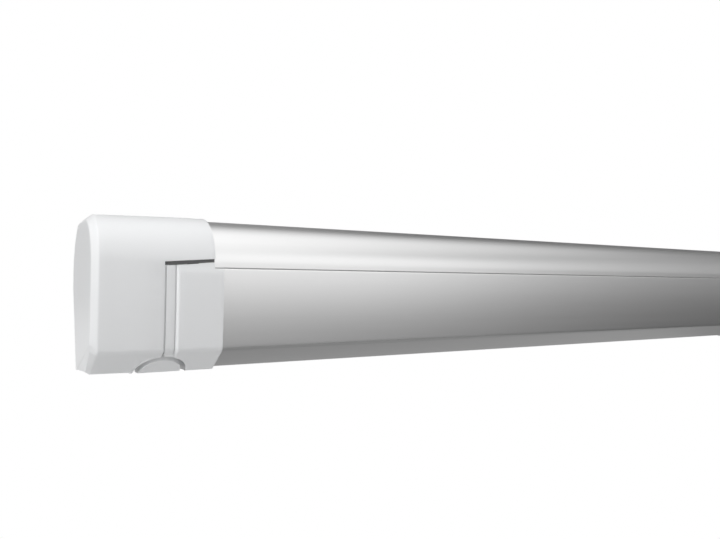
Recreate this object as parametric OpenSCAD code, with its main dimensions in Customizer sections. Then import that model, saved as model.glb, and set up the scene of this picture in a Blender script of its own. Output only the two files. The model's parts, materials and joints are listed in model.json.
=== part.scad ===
// Wall-mounted cassette awning, closed: folding arms, crank roller and fold-down legs inside the box.
// Millimetres. +X runs along the awning, +Y into the wall, +Z up. The origin is on the wall plane, at the
// centre of the middle wall bracket.

/* [Cassette] */
// Length over the two end caps
overall_l = 1920; // [1860:10:2300]
// Depth from the wall to the front of the end caps
depth = 102; // [101:1:112]
// Height of the end caps above the bracket centre
top_h = 65.2; // [64:0.2:72]
// Depth of the end caps below the bracket centre
bottom_h = 65.2; // [64:0.2:70]
// Radius of the rounded top front edge
hood_r = 40; // [34:1:44]
// How far the front leans back on its way down to the lower bevel
front_lean = 3.3; // [2:0.1:5]
// Height of the lower bevel on the caps
bevel_rise = 18.4; // [17:0.2:20]
// Depth of the lower bevel
bevel_run = 27; // [22:0.5:27.5]
// Height of the seam between the housing and the lead rail
seam_z = 21; // [17:0.5:23]
// Gap along that seam
seam_gap = 0.7; // [0.4:0.1:1.5]
// Wall of the housing profile
housing_wall = 2; // [1.6:0.1:2.4]
// Gap between the building wall and the rear web of the housing
rear_gap = 6; // [5.6:0.1:7]
// Distance from an end face to the end of the housing profile
housing_inset = 82; // [79:1:86]
// Front edge of the floor, measured from the wall
floor_d = 35.2; // [33:0.2:36]

/* [End caps] */
// How far the caps stand proud of the aluminium profiles
cap_proud = 2.2; // [1.8:0.1:2.6]
// Clearance between a cap and the profile inside it
cap_fit = 0.2; // [0.1:0.05:0.4]
// Gap between the wall and the back of a cap
cap_back_gap = 2; // [1:0.5:4]
// Length of a cap below the hood
cap_l = 54; // [46:1:58]
// Length of a cap over the hood
hood_l = 95; // [90:1:104]
// Height of the hood's lower edge where it leaves the full part of the cap
hood_edge_z = 26.6; // [24:0.2:30]
// Rise of that edge along the hood
hood_edge_rise = 3; // [0:0.2:5]
// Gap around the lead rail cap
cap_gap = 2.2; // [1.4:0.1:3]
// Width of the bevel on the end face, along the awning
end_bevel_x = 5; // [3:0.5:8]
// Width of the bevel on the end face, across it
end_bevel_in = 5.2; // [4:0.2:8]
// Radius of the end face's upper rear corner
rear_r = 36; // [20:1:40]
// How far the end face's rear edge leans forward at its foot
rear_lean = 23; // [0:1:30]
// Height where that lean starts
rear_lean_z = 5; // [-20:1:20]
// Height where the end face's lower slope meets its front edge
end_slope_z = -36; // [-44:0.5:-30]
// Width of that bevel at its foot, along the awning
end_foot_x = 1; // [0.6:0.1:3]
// Draft of the cap towards its end face
cap_taper = 1.4; // [0.6:0.1:2]
// Thickness of the end face
cap_end_t = 3; // [2:0.5:4]
// Length of the lead rail cap
rail_cap_l = 47; // [42:1:52]
// Width of the sunk strip along the lead rail cap
sunk_strip_w = 8; // [5:0.5:12]
// Depth of the sunk strip
sunk_strip_d = 1; // [0.6:0.1:1.4]
// Height of the band that leans back along the top of the lead rail cap
band_h = 6; // [3:0.5:8]
// How far that band leans back
band_lean = 1.2; // [0.4:0.1:1.4]

/* [Winding gear] */
// Distance of the winding boss from the end face
boss_x = 57.5; // [56:0.5:60]
// Radius of the boss
boss_r = 17; // [14:0.5:18]
// Distance from the front of the caps to the centre of the boss's round nose
boss_nose_d = 31.6; // [30:0.2:33]
// Height of the boss
boss_h = 21; // [18:0.5:26]
// Opening of the recess around the boss
boss_gap = 4.6; // [4:0.2:7]
// Wall around that recess
recess_wall = 1.6; // [1.2:0.1:2.4]
// Radius of the crank well in the boss
well_r = 9.5; // [8.5:0.1:10]
// Distance between the roller axis and the worm axis
gear_distance = 22; // [21:0.5:24]
// Teeth on the worm wheel
wheel_teeth = 11; // [10:1:13]
// Radius of the worm's pitch line
worm_r = 8; // [7.5:0.1:8.5]
// Length of the worm
worm_h = 26; // [20:1:28]
// Width of the worm wheel
wheel_w = 14; // [10:1:16]
// Radius of the worm shaft
worm_shaft_r = 5; // [4:0.1:5.2]
// Wall of the gearbox
gearbox_wall = 3; // [2.5:0.1:4]
// Radius of the bend in the crank eye
eye_r = 5; // [4.6:0.1:5.4]
// Radius of the bar that the eye is bent from
eye_bar_r = 1.7; // [1.4:0.1:1.9]

/* [Roller and canopy] */
// Radius of the roller tube
roller_r = 22; // [20:0.5:23]
// Wall of the roller tube
roller_wall = 1.6; // [1.2:0.1:2.5]
// Distance of the roller axis from the wall
roller_d = 40; // [39:0.5:42]
// Height of the roller axis
roller_z = 26; // [25:0.5:28]
// Radius of the roller shafts
roller_shaft_r = 7; // [6:0.1:7.5]
// Bare length at each end of the roller
canopy_margin = 26; // [16:1:60]
// Thickness of the canopy cloth
cloth_t = 0.5; // [0.4:0.05:0.6]
// Turns of cloth on the roller
canopy_turns = 9; // [6:1:9]
// Step from one turn of cloth to the next
canopy_step = 0.75; // [0.7:0.05:0.8]
// Free length of cloth between the roller and the welt
canopy_free = 40; // [38:0.5:44]
// Radius of the welt cord in the lead rail
welt_r = 2.6; // [2:0.1:3]

/* [Arms] */
// Length of each arm section between its pivots
arm_l = 680; // [520:10:720]
// Slope of the arms and the canopy, in degrees
pitch = 6; // [4:0.5:7]
// Thickness of an arm section
arm_w = 22; // [18:0.5:22.5]
// Height of an arm section
arm_h = 22; // [19:0.5:22.5]
// Wall of the arm profile
arm_wall = 1.8; // [1.4:0.1:2.4]
// Half of the gap between the two sections
arm_split = 2; // [1.6:0.1:2.4]
// Distance of the shoulders from the end faces
shoulder_x = 150; // [140:1:170]
// Radius of the pivot pins
pivot_r = 6; // [5:0.1:6.5]
// Running clearance on a pivot
pivot_fit = 0.08; // [0.04:0.01:0.1]
// Gap between the rear web and the arms
arm_rear_gap = 4.5; // [3.5:0.1:5]
// Gap between the floor and the arms
arm_floor_gap = 6; // [4:0.2:7]

/* [Lead rail] */
// How much lower the bevel starts on the lead rail than on its caps
rail_bevel_drop = 1.6; // [0:0.1:2]
// Wall of the lead rail profile
rail_wall = 1.8; // [1.4:0.1:2.2]
// Distance of the leg channel's roof from the bottom of the profile
channel_h = 29; // [28.6:0.1:30]
// Clear width of one leg lane
lane_w = 15.4; // [15.2:0.1:15.6]

/* [Legs] */
// Distance of the leg hinges from the end faces
leg_x = 120; // [112:1:140]
// Thickness of a leg
leg_w = 12; // [11:0.1:12.2]
// Height of a leg profile
leg_h = 24; // [22:0.2:24.2]
// Wall of the leg profiles
leg_wall = 1.4; // [1.2:0.1:1.6]
// Length of the outer leg from its hinge
leg_l = 820; // [600:10:840]
// Clearance between the two leg profiles
leg_fit = 0.2; // [0.15:0.05:0.3]
// Radius of the leg hinge pins
leg_pin_r = 3; // [2.5:0.1:3.5]
// Radius of the feet
foot_r = 11.5; // [10:0.1:12]

/* [Wall brackets] */
// Distance between neighbouring brackets
bracket_pitch = 600; // [400:10:700]
// Width of a bracket
bracket_w = 60; // [40:1:80]
// Thickness of a bracket plate
bracket_t = 3; // [2.5:0.1:3.2]
// Distance between the two bolt holes of a bracket
bolt_spacing = 60; // [40:1:64]
// Radius of the bolt holes
bolt_r = 3.3; // [2.7:0.1:4.5]

/* [Hidden] */
$fn = 64;
eps = 0.01;
far = 400;
face_gap = 0.3;
slice_t = 0.1;

// Colours
white = [0.93, 0.93, 0.94];
silver = [0.72, 0.73, 0.75];
cast = [0.62, 0.63, 0.65];
steel = [0.5, 0.51, 0.53];
black = [0.12, 0.12, 0.13];
cloth = [0.62, 0.64, 0.67];

// The bevel, the two leg lanes and an arm lie one behind the other: a shallower box makes them slimmer
lip_gap = 0.6;
arm_lane_gap = 1.5;
stack_gaps = lip_gap + face_gap + arm_lane_gap + arm_rear_gap + rear_gap;
stack_walls = front_lean + cap_proud + rail_wall + housing_wall;
slim = (depth - stack_gaps - stack_walls) / (bevel_run + 2 * lane_w + arm_w);
bevel_d = slim * bevel_run;
lane_d = slim * lane_w;
leg_d = leg_w + lane_d - lane_w;
arm_d = slim * arm_w;

// Section of the box
front_y = -depth;
hood_y = front_y + hood_r;
hood_z = top_h - hood_r;
bevel_z = -bottom_h + bevel_rise;
bevel_y = front_y + front_lean;
bevel_end_y = bevel_y + bevel_d;
front_fall = hood_z - bevel_z;
front_r = (front_fall * front_fall + front_lean * front_lean) / (2 * front_lean);
rear_y = -rear_gap;
rear_in = rear_y - housing_wall;
floor_y = -floor_d;
floor_z = -bottom_h + cap_proud + housing_wall;
ceiling_z = top_h - cap_proud - housing_wall;

// Places along the length
end_x = overall_l / 2;
cap_x = end_x - cap_l;
hood_x = end_x - hood_l;
housing_x = end_x - housing_inset;
plate_t = 4;
screw_head_h = 2.4;
plate_x = housing_x + plate_t;
plate_over_seam = 6;
plate_reach = 16;
plate_low_z = -1;
rail_x = housing_x - rail_wall - cap_fit;
draft_x = plate_x + screw_head_h + 1;
rail_cap_gap = 1.54;
rail_cap_x = cap_x - rail_cap_gap;
rail_cap_in_x = rail_cap_x - rail_cap_l;
cap_wall = cap_proud - cap_fit;
cap_back_y = -cap_back_gap;

// Screw channels of the housing, as [y, z]
channel_r = 4;
screw_r = 2;
channel_sunk = 0.6;
channel_in = channel_r - channel_sunk;
channel_reach = hood_r - cap_proud - housing_wall - channel_in;
mid_channel_z = 2;
channels = [[rear_in - channel_in, ceiling_z - channel_in], [rear_in - channel_in, mid_channel_z],
  [hood_y, hood_z] + channel_reach * [cos(135), sin(135)]];
screw_l = 14;
screw_head_r = 3.6;

// Roller, cloth and winding gear
roller_y = -roller_d;
roller_end_gap = 12;
roller_end_x = housing_x - roller_end_gap;
canopy_w = 2 * (roller_end_x - canopy_margin);
roll_gap = 0.1;
canopy_r = roller_r + roll_gap + canopy_turns * canopy_step;
out_dir = [-cos(pitch), -sin(pitch)];
up_dir = [-sin(pitch), cos(pitch)];
leave_point = [roller_y, roller_z] - canopy_r * up_dir;
welt_point = leave_point + canopy_free * out_dir + cloth_t / 2 * up_dir;
groove_r = welt_r + 0.3;
groove_wall = 1.8;
mouth_w = cloth_t + 1.4;
mouth_reach = groove_r + groove_wall + 0.2;
worm_x = end_x - boss_x;
worm_y = roller_y - gear_distance;
wheel_r = gear_distance - worm_r;
tooth_pitch = 2 * PI * wheel_r / wheel_teeth;
tooth_up = 1.8;
tooth_down = 2.4;
tooth_half = 0.17 * tooth_pitch;
flank = tan(20);
gear_gap = 1.4;
running_fit = 0.06;
wheel_room_r = wheel_r + tooth_up + gear_gap;
worm_room_r = worm_r + tooth_up + gear_gap;
gearbox_out_x = worm_x + wheel_w / 2 + 2 * gearbox_wall + gear_gap;
gearbox_in_x = plate_x;
shaft_end_x = gearbox_out_x - gearbox_wall;
gearbox_bottom_z = roller_z - wheel_room_r - gearbox_wall;
gearbox_top_z = roller_z + wheel_room_r + gearbox_wall;
sleeve_r = worm_shaft_r + gearbox_wall;
boss_top_z = -bottom_h + boss_h;
boss_nose_y = front_y + boss_nose_d;
well_top_z = boss_top_z - 3;
recess_top_z = boss_top_z + 4;
eye_z = well_top_z - eye_r - eye_bar_r - 1;
bush_r = roller_shaft_r + 3;
bush_in = 3;
plug_l = 30;
shaft_over = 2;
spiral_steps = 30;

// Arms: the sections lie one over the other in a plane that slopes down outwards
shoulder_px = end_x - shoulder_x;
elbow_px = shoulder_px - arm_l;
arm_y = rear_in - arm_rear_gap - arm_d / 2;
arm_z = floor_z + arm_floor_gap + arm_split + arm_h;
arm_mid = arm_split + arm_h / 2;
arm_top = arm_split + arm_h;
tongue_h = arm_h * 0.65;
ear_gap = 0.4;
ear_top = arm_mid + tongue_h / 2 + ear_gap;
ear_bottom = arm_mid - tongue_h / 2 - ear_gap;
ear_split = 0.6;
knuckle_r = pivot_r + 4.5;
tube_start = 36;
socket_l = 24;
pin_head_r = pivot_r + 2.5;
pin_head_h = 1.5;
pin_seat = 0.03;
spring_l = 0.5 * arm_l;
spring_r = 6;
spring_wall = 1.6;
arm_corner_r = 3;
neck_l = 4;
shoulder_plate_l = 44;
shoulder_plate_t = 2.4;
wrist_block_l = 36;

// Lead rail: a front chamber, and behind it a channel with two leg lanes
rail_bottom_z = -bottom_h + cap_proud;
rail_top_z = seam_z - seam_gap;
lip_y = bevel_end_y + cap_proud + lip_gap;
channel_z = rail_bottom_z + channel_h;
channel_end_y = lip_y + 2 * lane_d + face_gap + rail_wall;
lane_y = [lip_y + lane_d / 2, lip_y + 1.5 * lane_d];

// Legs
leg_px = end_x - leg_x;
cheek_t = (lane_d - leg_d) / 2 - face_gap;
leg_base_t = 1.6;
leg_z = channel_z - leg_base_t - face_gap - 0.1 - leg_h / 2;
knuckle_l = 16;
leg_corner_r = 2.5;
leg_ear_r = leg_pin_r + 6;
leg_base_l = 28;
inner_wall = 1.2;
inner_corner_r = 1.5;
inner_plug_l = 8;
inner_w = leg_d - 2 * leg_wall - 2 * leg_fit;
inner_h = leg_h - 2 * leg_wall - 2 * leg_fit;
inner_start = 60;
collar_back = 22;
collar_front = 16;
collar_t = 0.7;
lever_x = leg_l + 6;
lever_r = 2;
lever_z = -leg_h / 2 - collar_t - lever_r - face_gap;
lever_w = 7;
lever_pin_r = 1;
lever_l = 48;
inner_out = 34;
inner_end = leg_l + inner_out;
foot_gap = 1.5;
foot_x = inner_end + foot_r + foot_gap;
foot_tongue_w = 4;
foot_tongue_r = foot_r - 5.5;
foot_pin_r = 2;
foot_sole = foot_r - 2.5;
foot_slot_gap = 0.3;
foot_turn_gap = 1.3;

// Wall brackets, and the rails on the housing that hang on them
hook_z = 38.4;
hook_h = 8;
hook_t = 1;
hook_arm_t = 2;
hook_y = -bracket_t - face_gap;
shelf_t = 2.4;
upstand_y = hook_y - hook_t - face_gap;
upstand_h = 4.6;
plate_over = 12;
foot_rib_z = -42;
flange_t = 2.6;
flange_gap = 4.4;
flange_w = 2.7;
lock_r = 1.1;
lock_y = -bracket_t - flange_w / 2;
lock_head = 1;
lock_z = foot_rib_z - flange_gap - flange_t - lock_head;
seal_z = ceiling_z - 4;
seal_t = 3;

// Rectangle between two corners
module box2(a0, b0, a1, b1) {
  translate([a0, b0]) square([a1 - a0, b1 - b0]);
}

// A section in [y, z] carried along the length
module along_x(x0, x1) {
  translate([x0, 0, 0]) rotate([90, 0, 90]) linear_extrude(x1 - x0) children();
}

// A section in [x, z] carried towards the wall
module along_y(y0, y1) {
  translate([0, y1, 0]) rotate([90, 0, 0]) linear_extrude(y1 - y0) children();
}

// A section in [y, z] centred on the roller axis
module at_roller() {
  translate([roller_y, roller_z]) children();
}

// Everything is modelled at the left end, and mirrored for the right one
module at_side(side) {
  mirror([side == "right" ? 1 : 0, 0, 0]) children();
}

module both_sides() {
  at_side("left") children();
  at_side("right") children();
}

// The sloping plane of the arms, with its own Z along the pivots
module on_arm_plane() {
  translate([0, arm_y, arm_z]) rotate([pitch, 0, 0]) children();
}

module rounded2(w, h, r) {
  square([w - 2 * r, h], center = true);
  square([w, h - 2 * r], center = true);
  for (a = [-1, 1], b = [-1, 1]) translate([a * (w / 2 - r), b * (h / 2 - r)]) circle(r = r);
}

module tube2(w, h, wall, r) {
  difference() {
    rounded2(w, h, r);
    rounded2(w - 2 * wall, h - 2 * wall, r - wall / 2);
  }
}

// Outline of the closed box, drawn in by inset, and cut off at the back. The bevel starts lower by drop.
module arched(inset, back_y) {
  intersection() {
    box2(front_y, -bottom_h, back_y, top_h - inset);
    translate([front_y + front_r, hood_z]) circle(r = front_r - inset, $fn = 720);
    union() {
      translate([hood_y, hood_z]) circle(r = hood_r - inset, $fn = 96);
      box2(front_y, -bottom_h, back_y, hood_z);
      box2(hood_y, -bottom_h, back_y, top_h);
    }
  }
}

module outline(inset, back_y, drop = 0) {
  bevel_dir = [bevel_d, drop - bevel_rise] / norm([bevel_d, bevel_rise - drop]);
  bevel_in = inset * [-bevel_dir[1], bevel_dir[0]];
  intersection() {
    arched(inset, back_y);
    box2(front_y, -bottom_h + inset, back_y, top_h);
    polygon([[bevel_y, bevel_z - drop] - far * bevel_dir + bevel_in,
      [bevel_end_y, -bottom_h] + far * bevel_dir + bevel_in, [far, far], [-far, far]]);
  }
}

module skin(inset, wall, back_y, drop = 0) {
  difference() {
    outline(inset, back_y, drop);
    outline(inset + wall, back_y - wall, drop);
  }
}

// Aluminium housing: hood, rear web and floor, with screw channels and rails for the wall brackets
module housing_section() {
  difference() {
    union() {
      intersection() {
        skin(cap_proud, housing_wall, rear_y);
        union() {
          box2(front_y, seam_z, 0, top_h);
          box2(floor_y, -bottom_h, 0, top_h);
        }
      }
      for (c = channels) translate(c) circle(r = channel_r);
    }
    for (c = channels) translate(c) circle(r = screw_r);
  }
  box2(rear_y - eps, hook_z + hook_h - hook_arm_t, hook_y, hook_z + hook_h);
  box2(hook_y - hook_t, hook_z, hook_y, hook_z + hook_h);
  box2(rear_y - eps, foot_rib_z, -bracket_t, foot_rib_z + hook_arm_t);
}

module cassette_housing() {
  color(silver) along_x(-housing_x, housing_x) housing_section();
}

// White end caps: a drafted shell with a bevelled end face, and a hood that reaches over the lead rail cap
module end_outline(inset) {
  intersection() {
    arched(inset + end_bevel_in + cap_taper, cap_back_y);
    offset(delta = -inset) hull() {
      translate([cap_back_y - rear_r, top_h - cap_taper - rear_r]) circle(r = rear_r, $fn = 96);
      polygon([[cap_back_y, rear_lean_z], [cap_back_y - rear_lean, -bottom_h], [front_y, end_slope_z],
        [front_y, top_h - cap_taper]]);
    }
  }
}

module cap_body(inset, end_pos, inner_pos) {
  back_y = cap_back_y - inset;
  hull() {
    along_x(-end_pos, -end_pos + slice_t) end_outline(inset);
    along_x(-end_pos + end_foot_x, -end_pos + end_foot_x + slice_t) intersection() {
      outline(inset + cap_taper, back_y - rear_lean);
      box2(front_y, -bottom_h, back_y, -bottom_h + inset + end_bevel_in);
    }
    along_x(-end_pos + end_bevel_x, -end_pos + end_bevel_x + slice_t) outline(inset + cap_taper, back_y);
    along_x(-draft_x, -inner_pos) outline(inset, back_y);
  }
}

module hood_cut() {
  along_y(-far, floor_y - 2 * face_gap) polygon([[-cap_x, -far], [-cap_x, hood_edge_z],
    [-hood_x, hood_edge_z + hood_edge_rise], [0, hood_edge_z + hood_edge_rise], [0, -far]]);
}

module boss_section(r) {
  translate([-worm_x, boss_nose_y]) circle(r = r);
  translate([-worm_x, worm_y]) circle(r = r);
  translate([-worm_x - r, boss_nose_y]) square([2 * r, worm_y - boss_nose_y]);
}

// The space around the boss, and with a wall the collar that lines it
module boss_recess(wall) {
  translate([0, 0, -far]) linear_extrude(far + recess_top_z) boss_section(boss_r + boss_gap + wall);
}

module end_cap(has_boss) {
  difference() {
    cap_body(0, end_x, hood_x);
    difference() {
      cap_body(cap_wall, end_x - cap_end_t, hood_x - 1);
      if (has_boss) boss_recess(recess_wall);
    }
    along_x(-housing_x - cap_back_gap, -hood_x + 1) outline(cap_wall, 1);
    hood_cut();
    if (has_boss) boss_recess(0);
  }
}

module end_cap_left() {
  color(white) end_cap(true);
}

module end_cap_right() {
  color(white) at_side("right") end_cap(false);
}

// Cast end plates that close the housing and carry the roller
module end_plate_section() {
  difference() {
    intersection() {
      outline(cap_proud, rear_y);
      union() {
        box2(front_y, seam_z + plate_over_seam, 0, top_h);
        box2(roller_y - bush_r - plate_reach, plate_low_z, 0, top_h);
        box2(floor_y, -bottom_h, 0, top_h);
      }
    }
    at_roller() circle(r = bush_r);
    for (c = channels) translate(c) circle(r = screw_r + 0.2);
  }
}

module end_plate() {
  color(cast) along_x(-plate_x, -housing_x) end_plate_section();
}

module cassette_screws() {
  color(steel) {
    both_sides() for (c = channels) {
      along_x(-plate_x - screw_head_h, -plate_x) translate(c) circle(r = screw_head_r);
      along_x(-plate_x, -housing_x + screw_l) translate(c) circle(r = screw_r);
    }
    for (x = bracket_pitch * [-1, 0, 1]) translate([x, lock_y, lock_z])
      cylinder(r = lock_r, h = foot_rib_z - lock_z);
  }
}

module roller_bushes() {
  color(black) both_sides() along_x(-plate_x, -housing_x + bush_in) at_roller() difference() {
    circle(r = bush_r);
    circle(r = roller_shaft_r + running_fit);
  }
}

// Gearbox with the sleeve that runs down to the boss
module gearbox_housing() {
  color(cast) difference() {
    union() {
      along_x(-gearbox_out_x, -gearbox_in_x) {
        at_roller() circle(r = wheel_room_r + gearbox_wall);
        box2(worm_y - worm_room_r - gearbox_wall, gearbox_bottom_z, roller_y, gearbox_top_z);
      }
      translate([-worm_x, worm_y, boss_top_z])
        cylinder(r = sleeve_r, h = gearbox_bottom_z - boss_top_z + 1);
    }
    along_x(-worm_x - wheel_w / 2 - gear_gap, -gearbox_in_x + 1) at_roller() circle(r = wheel_room_r);
    along_x(-shaft_end_x - gear_gap, -worm_x) at_roller() circle(r = roller_shaft_r + running_fit);
    translate([-worm_x, worm_y, roller_z - worm_h / 2 - gear_gap])
      cylinder(r = worm_room_r, h = worm_h + 2 * gear_gap);
    translate([-worm_x, worm_y, boss_top_z - 1])
      cylinder(r = worm_shaft_r + running_fit, h = gearbox_top_z - gearbox_wall / 2 - boss_top_z + 1);
  }
}

// White boss under the left cap, trimmed to the outline of the box, with the well for the crank hook
module winding_boss() {
  color(white) difference() {
    intersection() {
      translate([0, 0, -bottom_h]) linear_extrude(boss_h) boss_section(boss_r);
      along_x(-worm_x - far, -worm_x + far) outline(face_gap, cap_back_y);
    }
    translate([-worm_x, worm_y, -bottom_h - 1]) cylinder(r = well_r, h = well_top_z + bottom_h + 1);
    translate([-worm_x, worm_y, well_top_z - 1]) cylinder(r = worm_shaft_r + running_fit, h = boss_h);
  }
}

// Worm and wheel: straight-flanked teeth with room to turn
function tooth_reach(off) = (tooth_half - abs(off)) / flank;
function worm_radius(a) = worm_r
  + max(-tooth_down, min(tooth_up, tooth_reach(tooth_pitch * (a > 180 ? a - 360 : a) / 360)));

module worm_shaft() {
  start_turn = 90 - 360 * (worm_h + tooth_pitch) / (2 * tooth_pitch);
  shaft_top = gearbox_top_z - gearbox_wall / 2 - 1;
  color(steel) translate([-worm_x, worm_y, 0]) {
    translate([0, 0, roller_z - worm_h / 2]) rotate(start_turn)
      linear_extrude(worm_h, twist = -360 * worm_h / tooth_pitch, slices = 2 * worm_h, segments = 20)
        polygon([for (a = [0 : 18 : 342]) worm_radius(a) * [cos(a), sin(a)]]);
    translate([0, 0, well_top_z]) cylinder(r = worm_shaft_r, h = shaft_top - well_top_z);
  }
}

module worm_wheel() {
  tip = wheel_r + tooth_up;
  root = wheel_r - tooth_down;
  tip_a = (tooth_half - tooth_up * flank) / tip * 180 / PI;
  root_a = (tooth_half + tooth_down * flank) / root * 180 / PI;
  lean = wheel_w * tooth_pitch / (2 * PI * worm_r) / wheel_r * 180 / PI;
  color(cast) difference() {
    translate([-worm_x - wheel_w / 2, roller_y, roller_z]) rotate([90, 0, 90])
      linear_extrude(wheel_w, twist = -lean, slices = 3) rotate(180 - lean / 2)
        polygon([for (t = [0 : wheel_teeth - 1]) let (c = 360 * t / wheel_teeth)
          each [root * [cos(c - root_a), sin(c - root_a)], tip * [cos(c - tip_a), sin(c - tip_a)],
            tip * [cos(c + tip_a), sin(c + tip_a)], root * [cos(c + root_a), sin(c + root_a)]]]);
    along_x(-worm_x - wheel_w, -worm_x + wheel_w) at_roller() circle(r = roller_shaft_r + pin_seat);
  }
}

module crank_eye() {
  color(steel) translate([-worm_x, worm_y, 0]) {
    translate([0, 0, eye_z]) rotate([0, 90, 0])
      rotate_extrude($fn = 48) translate([eye_r, 0]) circle(r = eye_bar_r, $fn = 24);
    translate([0, 0, eye_z + eye_r]) cylinder(r = eye_bar_r, h = well_top_z - eye_z - eye_r);
  }
}

// Roller with its cloth
module roller_tube() {
  color(silver) along_x(-roller_end_x, roller_end_x) at_roller() difference() {
    circle(r = roller_r);
    circle(r = roller_r - roller_wall);
  }
}

module roller_plugs() {
  color(black) both_sides() {
    along_x(-roller_end_x, -roller_end_x + plug_l) at_roller() circle(r = roller_r - roller_wall);
  }
  color(steel) {
    along_x(-shaft_end_x, -roller_end_x) at_roller() circle(r = roller_shaft_r);
    at_side("right") along_x(-plate_x - shaft_over, -roller_end_x) at_roller() circle(r = roller_shaft_r);
  }
}

// One turn after another, from the tube out to where the cloth leaves the roller
function spiral_point(t, out) = let (a = pitch - 90 + 360 * (canopy_turns - t))
  (roller_r + roll_gap + canopy_step * t - (out ? 0 : cloth_t)) * [cos(a), sin(a)];

module canopy_roll() {
  first = (cloth_t + roll_gap) / canopy_step;
  steps = floor((canopy_turns - first) * spiral_steps);
  turns = [for (k = [0 : steps]) canopy_turns - (steps - k) / spiral_steps];
  color(cloth) along_x(-canopy_w / 2, canopy_w / 2) at_roller()
    polygon(concat([for (t = turns) spiral_point(t, true)],
      [for (k = [steps : -1 : 0]) spiral_point(turns[k], false)]));
}

module canopy_span() {
  color(cloth) along_x(-canopy_w / 2, canopy_w / 2) translate(leave_point) rotate(pitch)
    box2(-canopy_free + mouth_reach + 2 * face_gap, 0, -face_gap, cloth_t);
}

module canopy_welt() {
  color(cloth) along_x(-canopy_w / 2, canopy_w / 2) translate(welt_point) {
    circle(r = welt_r);
    rotate(pitch) box2(0, -cloth_t / 2, mouth_reach, cloth_t / 2);
  }
}

// Shoulder brackets: two ears on a plate against the rear web
module ear(side_y) {
  circle(r = knuckle_r);
  box2(-knuckle_r, min(0, side_y), knuckle_r, max(0, side_y));
}

module shoulder_bracket() {
  ear_reach = rear_in - arm_y + arm_h / 4;
  color(cast) difference() {
    union() {
      intersection() {
        translate([-shoulder_px, 0, 0]) on_arm_plane() {
          translate([0, 0, -ear_bottom]) linear_extrude(ear_bottom - ear_split) ear(ear_reach);
          translate([0, 0, -arm_top]) linear_extrude(arm_top - ear_top) ear(ear_reach);
        }
        translate([-far * 4, rear_in - far, -far]) cube([far * 4, far, 2 * far]);
      }
      along_x(-shoulder_px - shoulder_plate_l / 2, -shoulder_px + shoulder_plate_l / 2)
        box2(rear_in - shoulder_plate_t, floor_z, rear_in, arm_z + 1);
    }
    translate([-shoulder_px, 0, 0]) on_arm_plane()
      cylinder(r = pivot_r + pin_seat, h = 4 * arm_h, center = true);
  }
}

module shoulder_pins() {
  color(steel) both_sides() translate([-shoulder_px, 0, 0]) on_arm_plane()
    translate([0, 0, -arm_top]) cylinder(r = pivot_r, h = arm_top - ear_split);
}

// An arm section: a tube with a cast knuckle at each end. It runs from pivot to pivot along X.
module arm_tube(level) {
  translate([-shoulder_px, 0, 0]) on_arm_plane() along_x(tube_start, arm_l - tube_start)
    translate([0, level * arm_mid]) tube2(arm_d, arm_h, arm_wall, arm_corner_r);
}

// A knuckle with its eye at the origin, its neck along +X and a plug that fits the tube
module knuckle(low, high, fit) {
  difference() {
    union() {
      translate([0, 0, low]) linear_extrude(high - low) {
        circle(r = knuckle_r);
        box2(0, -knuckle_r + 1, tube_start - neck_l, knuckle_r - 1);
      }
      translate([0, 0, sign(low + high) * arm_mid]) {
        along_x(tube_start - neck_l, tube_start) rounded2(arm_d, arm_h, arm_corner_r);
        along_x(tube_start, tube_start + socket_l)
          rounded2(arm_d - 2 * arm_wall, arm_h - 2 * arm_wall, arm_corner_r - arm_wall / 2);
      }
    }
    translate([0, 0, low - 1]) cylinder(r = pivot_r + fit, h = high - low + 2);
  }
}

module at_shoulder() {
  translate([-shoulder_px, 0, 0]) on_arm_plane() children();
}

module at_elbow() {
  translate([-elbow_px, 0, 0]) on_arm_plane() mirror([1, 0, 0]) children();
}

module upper_arm(side) {
  color(white) at_side(side) arm_tube(-1);
}

module forearm(side) {
  color(white) at_side(side) arm_tube(1);
}

module shoulder_knuckle(side) {
  color(cast) at_side(side) at_shoulder() knuckle(-ear_top + ear_gap, -ear_bottom - ear_gap, pivot_fit);
}

module wrist_knuckle(side) {
  color(cast) at_side(side) at_shoulder() knuckle(ear_bottom + ear_gap, ear_top - ear_gap, pivot_fit);
}

module elbow_fork(side) {
  color(cast) at_side(side) at_elbow() knuckle(-arm_top, -ear_gap, pin_seat);
}

module elbow_tongue(side) {
  color(cast) at_side(side) at_elbow() knuckle(ear_gap, arm_top, pivot_fit);
}

module elbow_pin(side) {
  color(steel) at_side(side) at_elbow() {
    translate([0, 0, -arm_top]) cylinder(r = pivot_r, h = 2 * arm_top + face_gap);
    translate([0, 0, -arm_top - pin_head_h]) cylinder(r = pin_head_r, h = pin_head_h);
    translate([0, 0, arm_top + face_gap]) cylinder(r = pin_head_r, h = pin_head_h);
  }
}

module tension_spring(side) {
  color(steel) at_side(side) at_elbow() along_x(tube_start + socket_l, tube_start + socket_l + spring_l)
    translate([0, arm_mid]) difference() {
      circle(r = spring_r);
      circle(r = spring_r - spring_wall);
    }
}

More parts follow.
